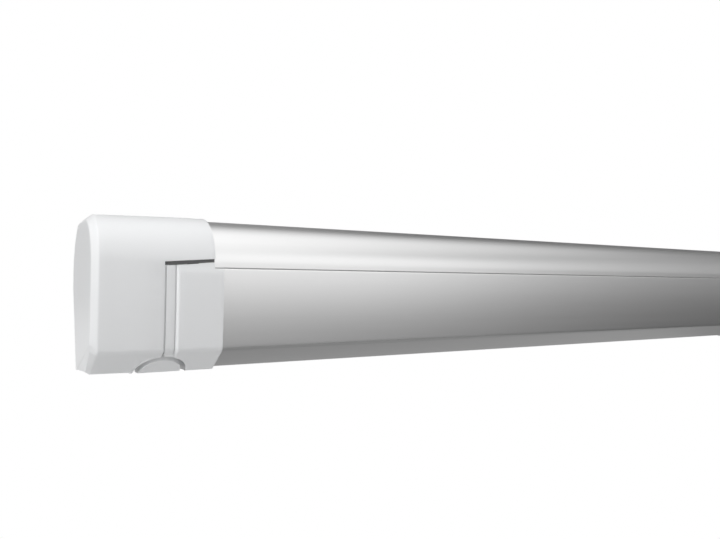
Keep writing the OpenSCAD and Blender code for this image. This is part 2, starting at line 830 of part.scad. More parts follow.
// Lead rail: front wall and bevel, welt groove, front chamber and the roof over the two leg lanes
module rail_section() {
  difference() {
    union() {
      intersection() {
        skin(cap_proud, rail_wall, 0, rail_bevel_drop);
        box2(front_y, -bottom_h, lip_y, rail_top_z);
      }
      intersection() {
        outline(cap_proud, 0, rail_bevel_drop);
        union() {
          box2(lip_y - rail_wall, rail_bottom_z, lip_y, channel_z + rail_wall);
          box2(front_y, channel_z, channel_end_y, channel_z + rail_wall);
          box2(channel_end_y - rail_wall, channel_z - 4, channel_end_y, channel_z + rail_wall);
          box2(front_y, rail_top_z - rail_wall, front_y + 10, rail_top_z);
          box2(front_y, welt_point[1] - 1, welt_point[0], welt_point[1] + 1);
        }
      }
      translate(welt_point) circle(r = groove_r + groove_wall);
    }
    translate(welt_point) circle(r = groove_r);
    translate(welt_point) rotate(pitch) box2(0, -mouth_w / 2, far, mouth_w / 2);
  }
}

module lead_rail() {
  color(silver) along_x(-rail_x, rail_x) rail_section();
}

// White caps on the ends of the lead rail: high under the hood, level with the rail beside it
module rail_cap_front() {
  low_edge_z = hood_edge_z - cap_gap;
  high_edge_z = low_edge_z + hood_edge_rise;
  intersection() {
    along_x(-rail_cap_x, -rail_cap_in_x) intersection() {
      outline(0, lip_y);
      polygon([[front_y, -far], [front_y, rail_top_z - band_h / 2],
        [front_y + band_lean, rail_top_z + band_h / 2], [front_y + band_lean, far], [far, far], [far, -far]]);
    }
    along_y(-far, 0) polygon([[-rail_cap_x, -far], [-rail_cap_x, low_edge_z], [-hood_x, high_edge_z],
      [-hood_x, rail_top_z], [-rail_cap_in_x, rail_top_z], [-rail_cap_in_x, -far]]);
  }
}

module rail_cap(has_boss) {
  strip_x = rail_cap_x - sunk_strip_w;
  difference() {
    rail_cap_front();
    difference() {
      along_x(-rail_cap_x - 1, -rail_cap_in_x + 1) outline(cap_wall, 1, rail_bevel_drop);
      along_x(-rail_x - rail_wall, -rail_x) box2(front_y, -bottom_h, lip_y, rail_top_z);
      if (has_boss) boss_recess(recess_wall);
    }
    along_x(-rail_cap_x - 1, -strip_x) skin(-1, 1 + sunk_strip_d, 0);
    if (has_boss) boss_recess(0);
  }
}

module rail_cap_left() {
  color(white) rail_cap(true);
}

module rail_cap_right() {
  color(white) at_side("right") rail_cap(false);
}

// Wrist brackets: a block on the channel roof with two ears around the wrist
module wrist_bracket() {
  block_back_y = arm_y - knuckle_r - 3.5;
  block_front_y = lip_y + 4;
  reach = block_back_y - 2 - arm_y;
  color(cast) difference() {
    union() {
      translate([-shoulder_px, 0, 0]) on_arm_plane() {
        translate([0, 0, ear_split]) linear_extrude(ear_bottom - ear_split) ear(reach);
        translate([0, 0, ear_top]) linear_extrude(arm_top - ear_top) ear(reach);
      }
      along_x(-shoulder_px - wrist_block_l / 2, -shoulder_px + wrist_block_l / 2)
        polygon([[block_back_y, channel_z + rail_wall], [block_back_y, arm_z + arm_top - 3],
          [block_back_y - 8, arm_z + arm_top - 4], [block_front_y, channel_z + rail_wall + 5],
          [block_front_y, channel_z + rail_wall]]);
    }
    translate([-shoulder_px, 0, 0]) on_arm_plane()
      cylinder(r = pivot_r + pin_seat, h = 4 * arm_h, center = true);
  }
}

module wrist_pins() {
  color(steel) both_sides() translate([-shoulder_px, 0, 0]) on_arm_plane()
    translate([0, 0, ear_split]) cylinder(r = pivot_r, h = arm_top - ear_split);
}

// Leg hinges: a folded bracket under the channel roof. The right leg lies in the rear lane.
function lane_of(side) = lane_y[side == "right" ? 1 : 0];

module at_leg(side) {
  at_side(side) translate([-leg_px, lane_of(side), leg_z]) children();
}

module leg_bracket(side) {
  roof = channel_z - leg_z;
  color(black) at_leg(side) difference() {
    union() {
      along_x(-leg_base_l / 2, leg_base_l / 2) box2(-lane_d / 2, roof - leg_base_t, lane_d / 2, roof);
      for (y = [-lane_d / 2, lane_d / 2 - cheek_t]) along_y(y, y + cheek_t) {
        circle(r = leg_ear_r);
        box2(-leg_ear_r, 0, leg_ear_r, roof);
      }
    }
    along_y(-lane_d, lane_d) circle(r = leg_pin_r);
  }
}

module leg_pins() {
  color(steel) for (side = ["left", "right"]) at_leg(side)
    along_y(-lane_d / 2, lane_d / 2) circle(r = leg_pin_r);
}

module leg_knuckle(side) {
  color(black) at_leg(side) difference() {
    union() {
      along_y(-leg_d / 2, leg_d / 2) {
        circle(r = leg_h / 2);
        box2(0, -leg_h / 2, knuckle_l, leg_h / 2);
      }
      along_x(knuckle_l, knuckle_l + socket_l)
        rounded2(leg_d - 2 * leg_wall, leg_h - 2 * leg_wall, leg_corner_r - leg_wall / 2);
    }
    along_y(-lane_d, lane_d) circle(r = leg_pin_r + pivot_fit);
  }
}

module leg(side) {
  color(silver) at_leg(side) along_x(knuckle_l, leg_l) tube2(leg_d, leg_h, leg_wall, leg_corner_r);
}

// Collar at the end of the outer leg, with the cam lever's pin between two lugs
module leg_collar(side) {
  outer_w = leg_d + 2 * collar_t;
  lug_w = (outer_w - lever_w) / 2 - 0.2;
  color(black) at_leg(side) {
    difference() {
      along_x(leg_l - collar_back, leg_l + collar_front)
        rounded2(outer_w, leg_h + 2 * collar_t, leg_corner_r);
      along_x(leg_l - collar_back - 1, leg_l) rounded2(leg_d, leg_h, leg_corner_r);
      along_x(leg_l - 1, leg_l + collar_front + 1)
        rounded2(inner_w + 2 * leg_fit, inner_h + 2 * leg_fit, inner_corner_r);
    }
    for (y = [-outer_w / 2, outer_w / 2 - lug_w]) along_y(y, y + lug_w) {
      translate([lever_x, lever_z]) circle(r = lever_r);
      box2(lever_x - lever_r, lever_z, lever_x + lever_r, -leg_h / 2 - collar_t / 2);
    }
    along_y(-outer_w / 2, outer_w / 2) translate([lever_x, lever_z]) circle(r = lever_pin_r);
  }
}

module leg_lever(side) {
  color(white) at_leg(side) along_y(-lever_w / 2, lever_w / 2) difference() {
    union() {
      translate([lever_x, lever_z]) circle(r = lever_r);
      box2(lever_x - lever_l, lever_z - lever_r, lever_x, lever_z);
    }
    translate([lever_x, lever_z]) circle(r = lever_pin_r + running_fit);
  }
}

// Inner leg with a tongue for the foot
module leg_inner(side) {
  color(silver) at_leg(side) {
    along_x(inner_start, inner_end - inner_plug_l) tube2(inner_w, inner_h, inner_wall, inner_corner_r);
    along_x(inner_end - inner_plug_l, inner_end) rounded2(inner_w, inner_h, inner_corner_r);
    along_y(-foot_tongue_w / 2, foot_tongue_w / 2) difference() {
      union() {
        translate([foot_x, 0]) circle(r = foot_tongue_r);
        box2(inner_end - 1, -foot_tongue_r, foot_x, foot_tongue_r);
      }
      translate([foot_x, 0]) circle(r = foot_pin_r + running_fit);
    }
  }
}

module foot(side) {
  slot_w = foot_tongue_w + 2 * foot_slot_gap;
  color(black) at_leg(side) {
    difference() {
      along_y(-leg_d / 2, leg_d / 2) intersection() {
        translate([foot_x, 0]) circle(r = foot_r);
        box2(foot_x - far, -far, foot_x + foot_sole, far);
      }
      along_y(-slot_w / 2, slot_w / 2) {
        translate([foot_x, 0]) circle(r = foot_tongue_r + foot_turn_gap);
        box2(foot_x - far, -far, foot_x, far);
      }
    }
    along_y(-leg_d / 2, leg_d / 2) translate([foot_x, 0]) circle(r = foot_pin_r);
  }
}

// Wall brackets: a plate with two bolt holes, a hook for the housing and a flange for the lock screw
module wall_bracket() {
  flange_z = foot_rib_z - flange_gap - flange_t;
  difference() {
    along_x(-bracket_w / 2, bracket_w / 2) {
      box2(-bracket_t, flange_z, 0, hook_z + plate_over);
      box2(upstand_y - hook_t, hook_z - shelf_t, -bracket_t, hook_z);
      box2(upstand_y - hook_t, hook_z - shelf_t, upstand_y, hook_z + upstand_h);
      box2(-bracket_t - flange_w, flange_z, -bracket_t, flange_z + flange_t);
    }
    for (z = bolt_spacing / 2 * [-1, 1]) translate([0, 0, z]) rotate([90, 0, 0])
      cylinder(r = bolt_r, h = 4 * bracket_t, center = true);
    translate([0, lock_y, flange_z - 1]) cylinder(r = lock_r, h = flange_t + 2);
  }
}

module wall_brackets() {
  color(steel) for (x = bracket_pitch * [-1, 0, 1]) translate([x, 0, 0]) wall_bracket();
}

// Rubber strip that keeps rain out between the housing and the wall
module wall_seal() {
  color(black) along_x(-hood_x + seal_t, hood_x - seal_t) {
    box2(rear_y, seal_z - seal_t / 2, -rear_gap / 2, seal_z + seal_t / 2);
    translate([-rear_gap / 2, seal_z]) circle(r = rear_gap / 2 - cap_fit);
  }
}

cassette_housing();
end_cap_left();
end_cap_right();
end_plate();  // end_plate_left
at_side("right") end_plate();  // end_plate_right
gearbox_housing();
winding_boss();
roller_bushes();
shoulder_bracket();  // shoulder_bracket_left
at_side("right") shoulder_bracket();  // shoulder_bracket_right
shoulder_pins();
wall_brackets();
cassette_screws();
wall_seal();
roller_tube();
roller_plugs();
canopy_roll();
worm_wheel();
worm_shaft();
crank_eye();
upper_arm("left");  // upper_arm_left
upper_arm("right");  // upper_arm_right
shoulder_knuckle("left");  // shoulder_knuckle_left
shoulder_knuckle("right");  // shoulder_knuckle_right
elbow_fork("left");  // elbow_fork_left
elbow_fork("right");  // elbow_fork_right
elbow_pin("left");  // elbow_pin_left
elbow_pin("right");  // elbow_pin_right
forearm("left");  // forearm_left
forearm("right");  // forearm_right
elbow_tongue("left");  // elbow_tongue_left
elbow_tongue("right");  // elbow_tongue_right
wrist_knuckle("left");  // wrist_knuckle_left
wrist_knuckle("right");  // wrist_knuckle_right
tension_spring("left");  // tension_spring_left
tension_spring("right");  // tension_spring_right
lead_rail();
rail_cap_left();
rail_cap_right();
wrist_bracket();  // wrist_bracket_left
at_side("right") wrist_bracket();  // wrist_bracket_right
wrist_pins();
leg_bracket("left");  // leg_bracket_left
leg_bracket("right");  // leg_bracket_right
leg_pins();
canopy_welt();
canopy_span();
leg("left");  // leg_left
leg("right");  // leg_right
leg_knuckle("left");  // leg_knuckle_left
leg_knuckle("right");  // leg_knuckle_right
leg_collar("left");  // leg_collar_left
leg_collar("right");  // leg_collar_right
leg_lever("left");  // leg_lever_left
leg_lever("right");  // leg_lever_right
leg_inner("left");  // leg_inner_left
leg_inner("right");  // leg_inner_right
foot("left");  // foot_left
foot("right");  // foot_right
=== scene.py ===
"""Looks of a closed wall cassette awning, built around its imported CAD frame.

The aluminium profiles, the white caps and the cloth are numpy surfaces. All other pieces are CAD nodes
with a finish. Sections are worked out in millimetres as [y, z] and go into the meshes in metres.
"""
import json

import bmesh
import bpy
import numpy as np
from mathutils import Matrix, Vector


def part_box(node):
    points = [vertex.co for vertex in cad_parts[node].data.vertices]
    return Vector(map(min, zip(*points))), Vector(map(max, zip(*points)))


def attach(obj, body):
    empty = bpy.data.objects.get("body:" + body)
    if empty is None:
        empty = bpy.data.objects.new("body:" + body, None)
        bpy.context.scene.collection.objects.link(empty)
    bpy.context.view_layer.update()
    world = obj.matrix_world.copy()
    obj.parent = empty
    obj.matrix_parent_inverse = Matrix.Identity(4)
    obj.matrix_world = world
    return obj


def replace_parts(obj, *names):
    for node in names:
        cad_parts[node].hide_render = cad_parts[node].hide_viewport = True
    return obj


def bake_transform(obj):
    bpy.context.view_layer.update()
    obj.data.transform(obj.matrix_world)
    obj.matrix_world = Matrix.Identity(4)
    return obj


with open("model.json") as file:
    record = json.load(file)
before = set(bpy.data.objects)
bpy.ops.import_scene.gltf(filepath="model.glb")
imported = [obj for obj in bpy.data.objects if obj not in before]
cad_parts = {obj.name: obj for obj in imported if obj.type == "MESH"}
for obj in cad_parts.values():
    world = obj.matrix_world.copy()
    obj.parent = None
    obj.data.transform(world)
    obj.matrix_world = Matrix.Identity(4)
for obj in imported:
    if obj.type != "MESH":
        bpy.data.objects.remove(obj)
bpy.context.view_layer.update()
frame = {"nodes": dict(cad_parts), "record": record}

MM = 0.001
SMOOTH_ANGLE = 32
SIDES = ("left", "right")
MERGE, CAD_MERGE = 1e-7, 1e-5


def node_span(node):
    """Lowest and highest corner of a CAD node, in millimetres."""
    low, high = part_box(node)
    return np.array(low) / MM, np.array(high) / MM


cap_low, cap_high = node_span("end_cap_left")
rail_cap_low, rail_cap_high = node_span("rail_cap_left")
boss_low, boss_high = node_span("winding_boss")
housing_high, rail_high, roll_high = (
    node_span(node)[1] for node in ("cassette_housing", "lead_rail", "canopy_roll"))

# Section of the closed box, as in the part's source: a quarter circle over a large circle over a bevel
FRONT_Y = cap_low[1]
TOP_Z, BOTTOM_Z = cap_high[2], cap_low[2]
CAP_BACK_Y = cap_high[1]
HOOD_R = 40.0
FRONT_LEAN = 3.3
BEVEL_RISE, BEVEL_RUN = 18.4, 27.0
RAIL_BEVEL_DROP = 1.6
HOOD_Y, HOOD_Z = FRONT_Y + HOOD_R, TOP_Z - HOOD_R
BEVEL_Z = BOTTOM_Z + BEVEL_RISE
BEVEL_Y = FRONT_Y + FRONT_LEAN
FRONT_FALL = HOOD_Z - BEVEL_Z
FRONT_R = (FRONT_FALL**2 + FRONT_LEAN**2) / (2 * FRONT_LEAN)
CAP_PROUD = TOP_Z - housing_high[2]
CAP_WALL, HOUSING_WALL, RAIL_WALL = 2.0, 2.0, 1.8
BEVEL_SOFT, TOE_SHARE = 3.2, 0.7

# Places along the length, and the edges between the caps, the housing and the rail
CAP_L = 54.0
END_X, HOOD_X = -cap_low[0], -cap_high[0]
CAP_X = END_X - CAP_L
HOUSING_X, RAIL_X = housing_high[0], rail_high[0]
RAIL_CAP_X, RAIL_CAP_IN_X = -rail_cap_low[0], -rail_cap_high[0]
HOOD_EDGE_Z, HOOD_EDGE_RISE, CAP_GAP = 25.4, 3.0, 3.2
SEAM_Z, SEAM_GAP, RAIL_TOP_Z = 21.0, 0.25, rail_high[2]


def line(a, b, count):
    """Points at even steps from a to b."""
    return np.linspace(a, b, count)


def arc(centre, radius, start, end, count):
    """Points at even angles, in radians, on a circle."""
    angle = np.linspace(start, end, count)
    return np.asarray(centre) + radius * np.stack([np.cos(angle), np.sin(angle)], 1)


def smooth_step(share):
    """A share from 0 to 1 that starts and ends level: 3 t^2 - 2 t^3."""
    return share * share * (3 - 2 * share)


def softened(before, corner, after, reach, count=7, handle=0.63):
    """A rounded corner: the cubic curve that leaves the first side and joins the second one at the given
    reach from the corner. Both handles go that share of the way to the corner, which is close to a circle."""
    before, corner, after = (np.asarray(p, float) for p in (before, corner, after))
    start = corner + reach * (before - corner) / np.linalg.norm(before - corner)
    end = corner + reach * (after - corner) / np.linalg.norm(after - corner)
    first, second = start + handle * (corner - start), end + handle * (corner - end)
    t = np.linspace(0, 1, count)[:, None]
    return (1 - t) ** 3 * start + 3 * t * (1 - t) ** 2 * first + 3 * t * t * (1 - t) * second + t**3 * end


def softened_path(corners, reaches, count=7):
    """A path through corners, each inner one rounded over its own reach. A reach of 0 keeps it sharp."""
    corners = [np.asarray(c, float) for c in corners]
    runs = [corners[0][None]]
    for before, corner, after, reach in zip(corners, corners[1:], corners[2:], reaches):
        runs.append(softened(before, corner, after, reach, count) if reach else corner[None])
    return np.concatenate([*runs, corners[-1][None]])


def joined(*runs):
    """Runs of points end to end, each starting where the one before it ends."""
    return np.concatenate([runs[0]] + [run[1:] for run in runs[1:]])


def upper_path(inset, edge_z, back_y):
    """The top from the back to the hood, and the hood's quarter circle down to the height edge_z."""
    radius = HOOD_R - inset
    edge = np.pi - np.arcsin((edge_z - HOOD_Z) / radius)
    top = line((back_y, TOP_Z - inset), (HOOD_Y, TOP_Z - inset), 41)
    return joined(top, arc((HOOD_Y, HOOD_Z), radius, np.pi / 2, edge, 41))


def lower_path(inset, edge_z, back_y, drop=0.0, soft=BEVEL_SOFT):
    """The front from the height edge_z down: what is left of the hood circle, the large front circle, the
    rounded start of the bevel, the bevel, its rounded end, and the bottom towards the back."""
    hood_r, front_r = HOOD_R - inset, FRONT_R - inset
    centre = np.array([FRONT_Y + FRONT_R, HOOD_Z])
    along = np.array([BEVEL_RUN, drop - BEVEL_RISE]) / np.hypot(BEVEL_RUN, BEVEL_RISE - drop)
    inwards = np.array([-along[1], along[0]])
    start = np.array([BEVEL_Y, BEVEL_Z - drop]) + inset * inwards
    to_centre = start - centre
    half = to_centre @ along
    corner = start + along * (-half - np.sqrt(half**2 - to_centre @ to_centre + front_r**2))
    corner_angle = np.arcsin((HOOD_Z - corner[1]) / front_r)
    toe = corner + along * (BOTTOM_Z + inset - corner[1]) / along[1]
    first = np.arcsin(np.clip((edge_z - HOOD_Z) / hood_r, 0, 1))
    second = np.arcsin(np.clip((HOOD_Z - edge_z) / front_r, 0, 1))
    stop = corner_angle - soft / front_r
    hood = arc((HOOD_Y, HOOD_Z), hood_r, np.pi - first, np.pi, 5)
    front = arc(centre, front_r, np.pi + second, np.pi + stop, 33)
    if first == 0:
        hood = np.repeat(front[:1], len(hood), 0)
    bevel_start = softened(front[-1], corner, toe, soft, 9)
    bevel_end = softened(corner, toe, toe + [1, 0], min(soft, TOE_SHARE * (back_y - toe[0])), 9)
    bottom = line(bevel_end[-1], (back_y, BOTTOM_Z + inset), 7)
    return np.concatenate([joined(hood, front, bevel_start), joined(bevel_end, bottom)])


def grid_faces(rows, columns, keep=None, closed=False):
    """Quads of a grid of points, row by row. closed joins the last column to the first."""
    index = np.arange(rows * columns).reshape(rows, columns)
    if closed:
        index = np.concatenate([index, index[:, :1]], 1)
    quads = np.stack([index[:-1, :-1], index[:-1, 1:], index[1:, 1:], index[1:, :-1]], -1)
    return quads[keep] if keep is not None else quads.reshape(-1, 4)


def make_piece(name, parts, its_finish):
    """One mesh object out of (points in millimetres, faces) parts. Doubled points are merged and faces point
    outwards; edges are smooth up to the common angle."""
    points, faces, base = [], [], 0
    for part_points, part_faces in parts:
        flat = np.asarray(part_points, float).reshape(-1, 3)
        points.append(flat)
        faces += [[i + base for i in face] for face in part_faces]
        base += len(flat)
    mesh = bpy.data.meshes.new(name)
    mesh.from_pydata((np.concatenate(points) * MM).tolist(), [], faces)
    tidy = bmesh.new()
    tidy.from_mesh(mesh)
    bmesh.ops.remove_doubles(tidy, verts=tidy.verts, dist=MERGE)
    bmesh.ops.dissolve_degenerate(tidy, edges=tidy.edges, dist=MERGE)
    loose = [v for v in tidy.verts if not v.link_faces]
    bmesh.ops.delete(tidy, geom=loose, context="VERTS")
    bmesh.ops.recalc_face_normals(tidy, faces=tidy.faces)
    tidy.to_mesh(mesh)
    tidy.free()
    if its_finish:
        mesh.materials.append(its_finish)
    mesh.shade_smooth()
    mesh.set_sharp_from_angle(angle=np.radians(SMOOTH_ANGLE))
    piece = bpy.data.objects.new(name, mesh)
    bpy.context.scene.collection.objects.link(piece)
    return piece


# End caps: their end bevel, the bounds of the end face, and the fades between these and the plain section
TAPER, END_BEVEL_X, END_BEVEL_IN, END_FOOT_X = 1.4, 5.0, 5.2, 1.0
END_INSET, FACE_RING, EDGE_SOFT = TAPER + END_BEVEL_IN, 4.0, 1.2
REAR_R, REAR_LEAN, REAR_LEAN_Z, END_SLOPE_Z = 46.0, 23.0, 5.0, -36.0
END_MIDDLE = np.array([-50.0, 5.0])
CORNER_R, CORNER_L = 17.0, 34.0
FOOT_ABOVE, FOOT_SHORT = 2.0, 5.0
LEAN_ABOVE, LEAN_FADE, LEAN_Y, LEAN_RUN = 8.0, 10.0, 10.0, 30.0
DRAFT_X, OPEN_BACK_X = HOUSING_X + 7.4, HOUSING_X + 2.0
FLOOR_SPLIT_Y = -35.8
HOOD_RUN, FRONT_RUN, FLOOR_RUN, BACK_RUN = range(4)
TINY = 1e-9

# Lip behind the gaps round a lead rail cap, and a dark rubber strip in the gap under the hood that stands in
# for the shade there: painted shade
LIP_IN, LIP_T, LIP_UNDER, LIP_PAST = 2.3, 0.12, 1.5, 3.5
SHADE_STRIP_IN, SHADE_STRIP_H, SHADE_STRIP_DROP, SHADE_STRIP_START, SHADE_STRIP_END = 1.85, 1.1, 2.8, 0.2, 0.3

# Winding boss and the recess around it
BOSS_X, BOSS_Y = (boss_low[0] + boss_high[0]) / 2, -62.0
BOSS_R, BOSS_GAP, RECESS_WALL = 17.0, 4.6, 1.6
BOSS_NOSE_Y = boss_low[1] + BOSS_R
RECESS_TOP_Z = boss_high[2] + 4.0
COLLAR_TAIL, COLLAR_UP, COLLAR_FRONT = 14.0, 0.35, 4.0
TOOL_Z = BOTTOM_Z - 20

# Lead rail, and its caps with a sunk strip, a thin groove (steps past the strip, depth under it) and a slope
LIP_Y = rail_cap_high[1]
STRIP_W, STRIP_D = 8.0, 1.0
STRIP_GROOVE = ((-1.1, 0.1), (-0.8, 1.6), (0.1, 1.5), (0.2, 0.5))
GROOVE_SOFT, SLOPE_SOFT = 0.12, 0.6
SLOPE_W, FACE_FIRST, FACE_SECOND = 2.2, 9.0, 16.0
BAND_H, BAND_LEAN, BAND_POINTS = 6.0, 1.2, 7
CHANNEL_Z, CHANNEL_LIP = -34.0, 4.0
FLANGE_D, FLANGE_SOFT, RAIL_SOFT, RAIL_TRIM = 10.0, 0.6, 2.2, 1.0
GROOVE_R, GROOVE_WALL, MOUTH_W, HALF_WEB = 2.9, 1.8, 1.9, 1.0

# Roller and cloth
ROLLER_Y, ROLLER_Z, PITCH = -40.0, 26.0, np.radians(6)
CLOTH_T, ROLL_R, TURNS, TURN_STEP = 0.5, 22.1, 9, 0.75
FIRST_TURN = 0.8
FREE_L, MOUTH_REACH, WELT_R, SPAN_LAP = 40.0, 4.9, 2.6, 0.4
CLOTH_X = roll_high[0]
OUT = np.array([-np.cos(PITCH), -np.sin(PITCH)])
UP = np.array([-np.sin(PITCH), np.cos(PITCH)])
LEAVE = np.array([ROLLER_Y, ROLLER_Z]) - (ROLL_R + TURNS * TURN_STEP) * UP + CLOTH_T / 2 * UP
WELT = LEAVE + FREE_L * OUT


def hood_edge(x):
    """Height of the hood's lower edge: level over the full part of the cap, then a straight rise."""
    return HOOD_EDGE_Z + HOOD_EDGE_RISE * np.clip((x + CAP_X) / (CAP_X - HOOD_X), 0, 1)


def carried(section, places):
    """Grid of points: a closed or open section in [y, z], carried along X through the given places."""
    places = np.asarray(places, float)
    grid = np.empty((len(places), len(section), 3))
    grid[..., 0] = places[:, None]
    grid[..., 1:] = section
    return grid


def extrusion(section, places):
    """A closed section carried along X, with a flat face at each end."""
    grid = carried(section, places)
    rows, columns = grid.shape[:2]
    ends = [list(range(columns)), list(range((rows - 1) * columns, rows * columns))]
    return grid, grid_faces(rows, columns, closed=True).tolist() + ends


def stadium(radius, count=24):
    """Outline in [x, y] of the boss: a half circle at the front, a half circle at the back."""
    return np.concatenate([arc((BOSS_X, BOSS_NOSE_Y), radius, np.pi, 2 * np.pi, count),
                           arc((BOSS_X, BOSS_Y), radius, 0, np.pi, count)])


def skin_height(y, inset=0.0):
    """Height of the underside of the box at depth y: the higher one of the bottom and the bevel."""
    return np.maximum(BOTTOM_Z, BEVEL_Z - (y - BEVEL_Y) * BEVEL_RISE / BEVEL_RUN) + inset


def recess_collar(share):
    """Wall around the boss recess: the stadium ring, from the underside of the box up to a level top. It
    is kept where share is true of a point's x and y."""
    inner, outer = stadium(BOSS_R + BOSS_GAP, 40), stadium(BOSS_R + BOSS_GAP + RECESS_WALL, 40)
    wall = []
    for ring, low in ((inner, True), (inner, False), (outer, False), (outer, True)):
        height = skin_height(ring[:, 1], COLLAR_UP) if low else np.full(len(ring), RECESS_TOP_Z)
        wall.append(np.column_stack([ring, np.minimum(height, RECESS_TOP_Z)]))
    grid = np.stack(wall, 1)
    centre = grid.mean(1)
    inside = (centre[:, 1] > FRONT_Y + COLLAR_FRONT) & share(centre[:, 0], centre[:, 1])
    faces = grid_faces(len(grid) + 1, 4, closed=True).reshape(len(grid), 4, 4) % (len(grid) * 4)
    both = inside & np.roll(inside, -1)
    return grid, faces[both].reshape(-1, 4).tolist()


def end_face_pull(points, extra):
    """The points moved straight towards the middle of the end face until they lie inside its bounds: a
    round rear corner, a rear edge that leans forward and a long slope below, all moved in by extra."""
    corner = np.array([CAP_BACK_Y - REAR_R, TOP_Z - TAPER - REAR_R])
    bounds = np.concatenate([[(CAP_BACK_Y - REAR_LEAN, BOTTOM_Z), (CAP_BACK_Y, REAR_LEAN_Z)],
                             arc(corner, REAR_R, 0, np.pi / 2, 33),
                             [(FRONT_Y, TOP_Z - TAPER), (FRONT_Y, END_SLOPE_Z)]])
    sides = np.roll(bounds, -1, 0) - bounds
    outward = np.column_stack([sides[:, 1], -sides[:, 0]]) / np.linalg.norm(sides, axis=1)[:, None]
    room = np.sum(outward * (bounds - END_MIDDLE), 1) - extra
    reach = (points - END_MIDDLE) @ outward.T
    share = np.where(reach > TINY, room / np.maximum(reach, TINY), np.inf).min(1)
    return END_MIDDLE + np.minimum(share, 1.0)[:, None] * (points - END_MIDDLE)


def rear_rounded(x, section):
    """The section with its upper rear corner on a circle, which grows from nothing to its full radius over
    the last stretch before the end: the points of the square corner move straight towards its centre."""
    share = np.clip((-x - END_X + CORNER_L) / (CORNER_L - END_BEVEL_X), 0, 1)
    radius = max(CORNER_R * smooth_step(share), TINY)
    centre = section.max(0) - radius
    away = np.maximum(section - centre, 0) / radius
    inside = (away > 0).all(1)
    section[inside] = centre + radius * (away / np.maximum(np.hypot(*away.T), TINY)[:, None])[inside]
    return section


def cap_section(x, inset):
    """Closed section of an end cap and the lengths of its four runs: hood, front and bevel, floor, back.
    Towards the end face it is drawn in by the bevel at the front and pulled into the end face's bounds. The
    foot of the front isn't drawn in, and low at the front the pull comes on the last stretch only."""
    low = BOTTOM_Z + min(inset, TAPER)
    back, high = CAP_BACK_Y, TOP_Z - inset
    full, drawn = (lower_path(i, hood_edge(x), FLOOR_SPLIT_Y) for i in (min(inset, TAPER), inset))
    foot = smooth_step(np.clip((BEVEL_Z + FOOT_ABOVE - full[:, 1:]) / (BEVEL_RISE - FOOT_SHORT), 0, 1))
    runs = [upper_path(inset, hood_edge(x), back), drawn + foot * (full - drawn),
            line((FLOOR_SPLIT_Y, low), (back, low), 13), line((back, low), (back, high), 61)]
    section = rear_rounded(x, joined(*runs)[:-1])
    share = np.clip((inset - TAPER) / END_BEVEL_IN, 0, 1)
    last = np.clip((share - 1) * END_BEVEL_X / END_FOOT_X + 1, 0, 1)
    lower = np.clip((BEVEL_Z + LEAN_ABOVE - section[:, 1:]) / LEAN_FADE, 0, 1)
    lower = lower * np.clip((-section[:, :1] - LEAN_Y) / LEAN_RUN, 0, 1)
    pull = share + lower * (last - share)
    section = section + pull * (end_face_pull(section, max(0.0, inset - END_INSET)) - section)
    return section, [len(run) - 1 for run in runs]


def cap_shell():
    """Outside of an end cap at the left. The first parameter runs along the awning, through the end face's
    ring, its soft bevel, the rounded rear corner and the draft; the second one runs round the section drawn
    in by that much. The hood reaches on alone, over the lead rail cap, and the back ends at the housing."""
    reach = line(-CAP_X, -HOOD_X, 9)[1:]
    places = np.sort(np.concatenate([reach, [-OPEN_BACK_X, -DRAFT_X]]))
    drafted = np.interp(places, [-END_X + END_BEVEL_X, -DRAFT_X, 0], [TAPER, 0, 0])
    start_inset = np.interp(-CAP_X, [-END_X + END_BEVEL_X, -DRAFT_X], [TAPER, 0])
    bevel = softened_path([(-END_X, END_INSET + FACE_RING), (-END_X, END_INSET),
                           (-END_X + END_BEVEL_X, TAPER), (-CAP_X, start_inset)], (EDGE_SOFT, EDGE_SOFT), 9)
    corner = line(-END_X + 2 * END_BEVEL_X, -END_X + CORNER_L, 9)
    corner = np.column_stack([corner, np.interp(corner, bevel[-2:, 0], bevel[-2:, 1])])
    stations = np.concatenate([bevel[:-1], corner, bevel[-1:], np.column_stack([places, drafted])])
    rows = []
    for x, inset in stations:
        section, sizes = cap_section(x, inset)
        rows.append(carried(section, [x])[0])
    grid = np.stack(rows)
    run_of = np.repeat(np.arange(len(sizes)), sizes)
    middle = (stations[1:, :1] + stations[:-1, :1]) / 2
    keep = ((run_of == HOOD_RUN) | (run_of == FLOOR_RUN) | ((run_of == FRONT_RUN) & (middle < -CAP_X))
            | ((run_of == BACK_RUN) & (middle < -OPEN_BACK_X)))
    faces = grid_faces(*grid.shape[:2], keep=keep, closed=True).tolist()
    return grid, faces + [list(range(grid.shape[1]))]


def front_at(z, inset):
    """Depth of the front at height z: the hood circle above its centre, the large front circle below."""
    hood = HOOD_Y - np.sqrt(np.maximum((HOOD_R - inset) ** 2 - (z - HOOD_Z) ** 2, 0))
    front = FRONT_Y + FRONT_R - np.sqrt((FRONT_R - inset) ** 2 - (HOOD_Z - z) ** 2)
    return np.where(z > HOOD_Z, hood, front)


def band_at(z):
    """Depth of the band along the top of a lead rail cap: the front, leaning back above a soft start."""
    above = z - (RAIL_TOP_Z - BAND_H / 2)
    return front_at(z, 0.0) + BAND_LEAN / BAND_H * (above + np.sqrt(above**2 + 1)) / 2


